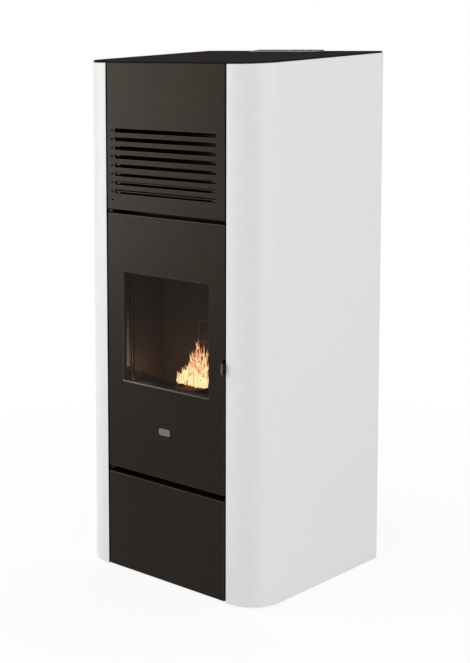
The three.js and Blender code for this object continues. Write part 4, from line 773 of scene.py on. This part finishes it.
rear_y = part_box("rear_panel")[1][1]
rear_places = both_sides(0.286, rear_y, (0.06, 0.35, 0.65, 0.95, 1.25))
rear_places += [(x, rear_y, 0.032) for x in (-0.15, 0.0, 0.15)]
flue_middle = middle_and_half("flue_spigot")[0]
flue_plate_y = rear_y + FLUE_PLATE_DEPTH
flue_places = [
    (flue_middle.x + sx * FLUE_SCREW_REACH, flue_plate_y, flue_middle.z + sz * FLUE_SCREW_REACH)
    for sx in (-1, 1) for sz in (-1, 1)
]
door_places = both_sides(0.182, DOOR_FRAME_REAR_Y, (0.3, 0.45, 0.69, 0.83, 0.905))
flange_places = both_sides(0.1715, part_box("firebox")[0][1], (0.42, 0.6, 0.72, 0.885))
hinge_places = [
    (HINGE_SCREW_X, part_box(node)[1][1] - HINGE_LEAF, height)
    for node, heights in (("hinge_lower", (0.274, 0.288)), ("hinge_upper", (0.906, 0.92)))
    for height in heights
]
screw_count = screws("rear_panel_screws", "casing", rear_places, REARWARD)
screw_count += screws("flue_screws", "casing", flue_places, REARWARD)
screw_count += screws("door_frame_screws", "door", door_places, REARWARD)
screw_count += screws("firebox_flange_screws", "casing", flange_places, FORWARD)
screw_count += screws("hinge_screws", "casing", hinge_places, FORWARD, radius=0.0028)
print("screws", screw_count)

# %% [markdown]
# ## Bare plate under the window
# A small plate with round corners is stuck on the door. Its rim is polished and its field is matt.
# The field could be a change of colour only, but then the rim would not catch the light. So the
# front face is inset twice and sunk, and the rim is real.

# %% Small plate
PLATE_CORNER = 0.0048
PLATE_RIM = 0.0013
PLATE_SUNK = 0.0004
PLATE_EDGE = 0.0003  # metres: the slope at each edge of the rim
CORNER_STEPS = 8


def rounded_rectangle(middle, half_width, half_height, corner, inset=0.0):
    """Points (x, z) of an upright rectangle; inset draws it in round the same corner centres."""
    points = []
    for quarter, (sx, sz) in enumerate(((1, 1), (-1, 1), (-1, -1), (1, -1))):
        for i in range(CORNER_STEPS + 1):
            angle = math.radians(90 * quarter + 90 * i / CORNER_STEPS)
            x = middle.x + sx * (half_width - corner) + (corner - inset) * math.cos(angle)
            z = middle.z + sz * (half_height - corner) + (corner - inset) * math.sin(angle)
            points.append((x, z))
    return points


def bare_plate():
    middle, half = middle_and_half("badge_plate")
    back, front = middle.y + half.y, middle.y - half.y
    sunk = front + PLATE_SUNK
    work = bmesh.new()
    rings = []
    for inset, y in (
        (0.0, back), (0.0, front + PLATE_EDGE), (PLATE_EDGE, front),
        (PLATE_RIM, front), (PLATE_RIM + PLATE_EDGE, sunk),
    ):
        outline = rounded_rectangle(middle, half.x, half.z, PLATE_CORNER, inset)
        rings.append([work.verts.new((x, y, z)) for x, z in outline])
    join_rings(work, rings)
    piece = new_piece("bare_plate", work, "door", finishes["dull_steel"])
    field_depth = front + PLATE_SUNK * 0.9
    second_finish(
        piece, finishes["plate_field"],
        lambda place, normal: field_depth < place.y < back and normal.y < -0.9,
    )
    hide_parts("badge_plate")
    return piece


plate = bare_plate()
print("plate faces", len(plate.data.polygons))

# %% [markdown]
# ## Door seal
# The door closes on a woven glass-fibre rope. A bump on a smooth tube would do from afar, but the
# open door shows the rope from near by. So an oval section is carried round a path with rounded
# corners, and swells and turns from ring to ring, as three twisted strands do.

# %% Rope seal
ROPE_SIDES = 14
ROPE_STEP = 0.004  # metres between rings on the straight runs
STRANDS = 3
STRAND_DEPTH = 0.05
TWIST = 2.1  # radians from ring to ring


def rope_ring(name, node, body, corner, oval):
    """A rope round the edge of the node's box; oval is half its width and half its depth."""
    middle, half = middle_and_half(node)
    outline = rounded_rectangle(middle, half.x - oval[0], half.z - oval[0], corner)
    path = [Vector((x, middle.y, z)) for x, z in outline]
    fine = []
    for here, there in zip(path, path[1:] + path[:1]):
        steps = max(1, round((there - here).length / ROPE_STEP))
        fine += [here.lerp(there, i / steps) for i in range(steps)]
    work = bmesh.new()
    rings = []
    for i, point in enumerate(fine):
        along = (fine[(i + 1) % len(fine)] - fine[i - 1]).normalized()
        outward = along.cross(Vector((0, 1, 0))).normalized()
        ring = []
        for angle in around(ROPE_SIDES):
            swell = 1 - STRAND_DEPTH * (1 + math.cos(STRANDS * angle + TWIST * i)) / 2
            depth = Vector((0, oval[1] * math.sin(angle), 0))
            offset = outward * (oval[0] * math.cos(angle)) + depth
            ring.append(work.verts.new(point + offset * swell))
        rings.append(ring)
    join_rings(work, rings, looped=True)
    piece = new_piece(name, work, body, finishes["rope"], smooth_angle=80)
    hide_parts(node)
    return piece


door_rope = rope_ring("door_rope", "door_gasket", "door", corner=0.018, oval=(0.006, 0.0023))
print("rope faces", len(door_rope.data.polygons))

# %% [markdown]
# ## Light of the fire
# A pellet fire is cream in the middle, red at its edges and in streaks, and clear at the very
# edge. Its colour is light, not paint, so it is written as emission. A simulated flame would be a
# volume, which is slow and noisy at this size. Here noise and the angle of the skin to the ray
# stand for depth: where the skin turns away, the flame is thin, and it reddens and clears.

# %% Fire finishes
FIRE_FOOT_Z = 0.487
FIRE_HEIGHT = 0.12


def flame_light():
    finish = Finish("flame_light")
    rise = ((finish.axis("Z") - FIRE_FOOT_Z) / FIRE_HEIGHT).clamped()
    lick = finish.noise(170, 4.0, 0.7, (1, 1, 0.55))
    hollow = ((finish.noise(70, 3.0, 0.6, (1, 1, 0.6)) - 0.36) * 9).clamped()
    rim = finish.facing()
    hot = (1.75 - rise - rim * 2.7 + (lick - 0.5) * 3.2) * (0.28 + hollow * 0.72)
    return finish.surface(
        Base_Color=(0.0, 0.0, 0.0),
        Roughness=1.0,
        Specular_IOR_Level=0.0,
        Emission_Color=finish.blend(hot.clamped(), (0.70, 0.095, 0.060), (1.0, 0.93, 0.50)),
        Emission_Strength=1.65,
        Alpha=((1.2 - rim ** 3 * 1.2 - rise * 0.15 + (lick - 0.5) * 1.8) * 1.6).clamped(),
    )


def ember_light():
    finish = Finish("ember_light")
    cell = finish.noise(220, 4.0, 0.7)
    heat = ((cell - 0.42) * 4).clamped()
    return finish.surface(
        Base_Color=finish.blend(heat, (0.02, 0.015, 0.012), (0.2, 0.08, 0.03)),
        Roughness=0.9,
        Emission_Color=finish.blend(heat, (0.004, 0.001, 0.0), (0.30, 0.07, 0.015)),
        Emission_Strength=1.0,
        Normal=finish.bump(cell, 0.5, 0.001),
    )


fire_finish = flame_light()
ember_finish = ember_light()
print("fire finishes ready")

# %% [markdown]
# ## Shape of the fire
# The fire stands over the burn pot as a cluster of pointed tongues. It could be a flat card with a
# picture of flames, but that shows its edge from the side. Here every tongue is a closed spike
# that sways as it rises, with small twigs on it, and all of them are fused into one skin.

# %% Flame tongues
LOBES = [
    # offset along the bed, offset across it, spread, how many tongues, height
    (0.016, 0.000, 0.012, 12, 0.128),
    (0.030, -0.008, 0.008, 7, 0.112),
    (0.003, 0.006, 0.010, 10, 0.104),
    (-0.012, 0.011, 0.009, 9, 0.070),
    (-0.026, 0.015, 0.007, 8, 0.040),
    (-0.035, 0.014, 0.0055, 7, 0.026),
]
ALONG_BED = Vector((0.755, 0.656, 0))
ACROSS_BED = Vector((-0.656, 0.755, 0))
BED_FALL = 0.12  # how far the foot of the fire drops along the bed
THINNEST = 0.0003
TWIGS = 4
pot_low, pot_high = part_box("burn_pot")
pot_middle = Vector(((pot_low[0] + pot_high[0]) / 2, (pot_low[1] + pot_high[1]) / 2, pot_high[2]))


def level(angle):
    """A level direction at this angle."""
    return Vector((math.cos(angle), math.sin(angle), 0))


def tongue(work, foot, radius, height, lean, sway, phase, levels=12, sides=8):
    """A closed spike: widest low down, drawn to a point, swaying more as it rises."""
    rings = []
    for i in range(levels):
        t = i / (levels - 1)
        belly = 0.7 + 0.6 * math.sin(math.pi * min(1, t * 1.5 + 0.15)) ** 2
        width = max(radius * (1 - t) ** 0.8 * belly, THINNEST)
        drift = Vector((lean[0] * t ** 1.5, lean[1] * t ** 1.5, height * t))
        drift += Vector((math.sin(6 * t + phase), math.cos(5 * t + phase), 0)) * sway * t
        centre = foot + drift
        rings.append([work.verts.new(centre + level(angle) * width) for angle in around(sides)])
    join_rings(work, rings)


print("middle of the pot's rim", pot_middle)

# %% Flame
SKIN_VOXEL = 0.0009  # metres: the size of the cells that fuse the tongues


def tongue_with_twigs(work, heart, angle, spread, height):
    """One outer tongue of a lobe, with small ones growing from its side."""
    outward = level(angle)
    foot = heart + outward * spread * (0.5 + 0.5 * dice.random())
    tall = height * (0.6 + 0.42 * dice.random())
    lean = outward * 0.006 * (dice.random() - 0.3)
    tongue(work, foot, spread * 0.5, tall, lean, 0.004, 6 * dice.random())
    for _ in range(TWIGS):
        reach = 0.08 + 0.72 * dice.random()
        side = level(angle + 1.2 * (dice.random() - 0.5))
        twig = foot + Vector((0, 0, tall * reach)) + side * spread * 0.4 * (1 - reach)
        tongue(
            work, twig, spread * 0.22, 0.010 + 0.012 * dice.random(),
            side * (0.003 + 0.007 * dice.random()), 0.0015, 6 * dice.random(), levels=7, sides=6,
        )


def flame():
    work = bmesh.new()
    base = pot_middle + Vector((0, 0, -0.001))
    for along, across, spread, count, height in LOBES:
        heart = base + ALONG_BED * along + ACROSS_BED * across
        heart.z -= BED_FALL * along
        tongue(work, heart, spread, height * 0.80, (0, 0), 0.003, 6 * dice.random())
        for i in range(count):
            angle = 2 * math.pi * (i + dice.random()) / count
            tongue_with_twigs(work, heart, angle, spread, height)
    piece = new_piece("fire_flame", work, "pot", fire_finish, smooth_angle=180)
    fuse = piece.modifiers.new("one_skin", "REMESH")
    fuse.mode = "VOXEL"
    fuse.voxel_size = SKIN_VOXEL
    calm = piece.modifiers.new("calm", "SMOOTH")
    calm.factor = 0.4
    calm.iterations = 1
    settle(piece, ["one_skin", "calm"])
    piece.data.shade_smooth()
    return piece


fire = flame()
print("fire faces", len(fire.data.polygons))

# %% [markdown]
# ## Bed of pellets
# Wood pellets are short rods a few millimetres thick. In the pot they lie in a low heap, glowing.
# A rigid-body drop would settle them, but they hide under the flame, so they are scattered over a
# disc and raised towards its middle, each turned at random.

# %% Embers
PELLETS = 90
PELLET_RADIUS, PELLET_TIP_RADIUS = 0.003, 0.0028
PELLET_SHORTEST, PELLET_SPREAD = 0.009, 0.006  # metres: lengths start here and reach this much more
BED_RADIUS = 0.037
BED_RISE = 0.006
BED_DEPTH = 0.012  # metres below the pot's rim


def embers():
    work = bmesh.new()
    for _ in range(PELLETS):
        reach = BED_RADIUS * math.sqrt(dice.random())
        angle = 2 * math.pi * dice.random()
        lift = BED_RISE * (1 - (reach / BED_RADIUS) ** 2)
        offset = Vector((reach * math.cos(angle), reach * math.sin(angle), lift - BED_DEPTH))
        place = pot_middle + offset
        turn = Matrix.Rotation(2 * math.pi * dice.random(), 4, "Z") @ Matrix.Rotation(
            math.pi / 2 + (dice.random() - 0.5) * 0.7, 4, "X"
        )
        bmesh.ops.create_cone(
            work, cap_ends=True, segments=8, radius1=PELLET_RADIUS, radius2=PELLET_TIP_RADIUS,
            depth=PELLET_SHORTEST + PELLET_SPREAD * dice.random(),
            matrix=Matrix.Translation(place) @ turn,
        )
    return new_piece("fire_bed", work, "pot", ember_finish)


bed = embers()
print("bed faces", len(bed.data.polygons))

# %% [markdown]
# ## Floor and background
# The photo is a cut-out on white. A bright white room would light the stove from every side and
# wash out its shading. So rays that show the background see plain white, whether they come from
# the camera, off a mirror or through glass, and all other rays meet a dimmer air and a matt floor.
# Near the stove the camera sees a little of the matt floor too, which keeps the stove's shadow.

# %% World and floor
WHITE = (1, 1, 1)
AIR_LIGHT = 0.71
FLOOR_HALF = 14.0
SHADOW_START, SHADOW_FADE = 0.5, 1.6  # metres from the middle of the stove


def shows_background(finish):
    """1 for rays from the camera, off a mirror or through glass, and 0 for all others."""
    rays = finish.node("ShaderNodeLightPath")
    seen = Value(finish, rays.outputs["Is Camera Ray"])
    seen = seen + Value(finish, rays.outputs["Is Glossy Ray"])
    return (seen + Value(finish, rays.outputs["Is Transmission Ray"])).clamped()


def studio_air():
    finish = Finish("studio_air", world=True)
    air = finish.node("ShaderNodeBackground", {0: WHITE, 1: AIR_LIGHT})
    shown = finish.node("ShaderNodeBackground", {0: WHITE, 1: 1.0})
    return finish.closed(
        finish.mixed(shows_background(finish), air.outputs[0], shown.outputs[0])
    )


def floor_sheet():
    mesh = bpy.data.meshes.new("studio_floor")
    half = FLOOR_HALF
    corners = [(-half, -half, 0), (half, -half, 0), (half, half, 0), (-half, half, 0)]
    mesh.from_pydata(corners, [], [(0, 1, 2, 3)])
    sheet = add_object("studio_floor", mesh)
    finish = Finish("studio_floor")
    matt = finish.node("ShaderNodeBsdfDiffuse", {"Color": (0.9, 0.9, 0.9)})
    white = finish.node("ShaderNodeEmission", {"Color": WHITE, "Strength": 1.0})
    spread = finish.node("ShaderNodeVectorMath", {0: finish.place()}, operation="LENGTH")
    far = Value(finish, spread.outputs["Value"])
    far = ((far - SHADOW_START) / SHADOW_FADE).clamped()
    amount = shows_background(finish) * (0.9 + far * 0.1)
    dress(sheet, finish.closed(finish.mixed(amount, matt.outputs[0], white.outputs[0])))


scene.world = studio_air()
floor_sheet()
print("studio ready")

# %% [markdown]
# ## Light
# The light is plain and soft. A tall softbox at the left gives the dark front its sheen, and a
# large one at the right lights the white side. Both are area lamps, because the size of a lamp
# sets how soft its light is. A small warm lamp in the fire box stands for the light of the fire.
# It is hidden from the camera and from reflections, so that only its light shows.

# %% Lamps
def new_lamp(name, kind, place, watts):
    data = bpy.data.lights.new(name, kind)
    data.energy = watts
    thing = add_object(name, data)
    thing.location = place
    return thing


def softbox(name, place, target, size, watts):
    thing = new_lamp(name, "AREA", place, watts)
    thing.data.shape = "RECTANGLE"
    thing.data.size, thing.data.size_y = size
    aim = Vector(target) - Vector(place)
    thing.rotation_euler = aim.to_track_quat("-Z", "Y").to_euler()


def fire_lamp(place, radius, watts, colour):
    thing = new_lamp("fire_lamp", "POINT", place, watts)
    thing.data.color = colour
    thing.data.shadow_soft_size = radius
    thing.visible_camera = False
    thing.visible_glossy = False


softbox(
    "left_softbox", place=(-3.25, -2.6, 1.35), target=(-0.2, -0.25, 0.9), size=(1.1, 2.6), watts=56
)
softbox(
    "right_softbox", place=(4.5, -0.7, 1.35), target=(0.3, 0, 0.65), size=(3.0, 3.0), watts=43
)
fire_lamp(
    pot_middle + Vector((-0.10, -0.065, 0.035)), radius=0.012, watts=0.12, colour=(1.0, 0.60, 0.31)
)
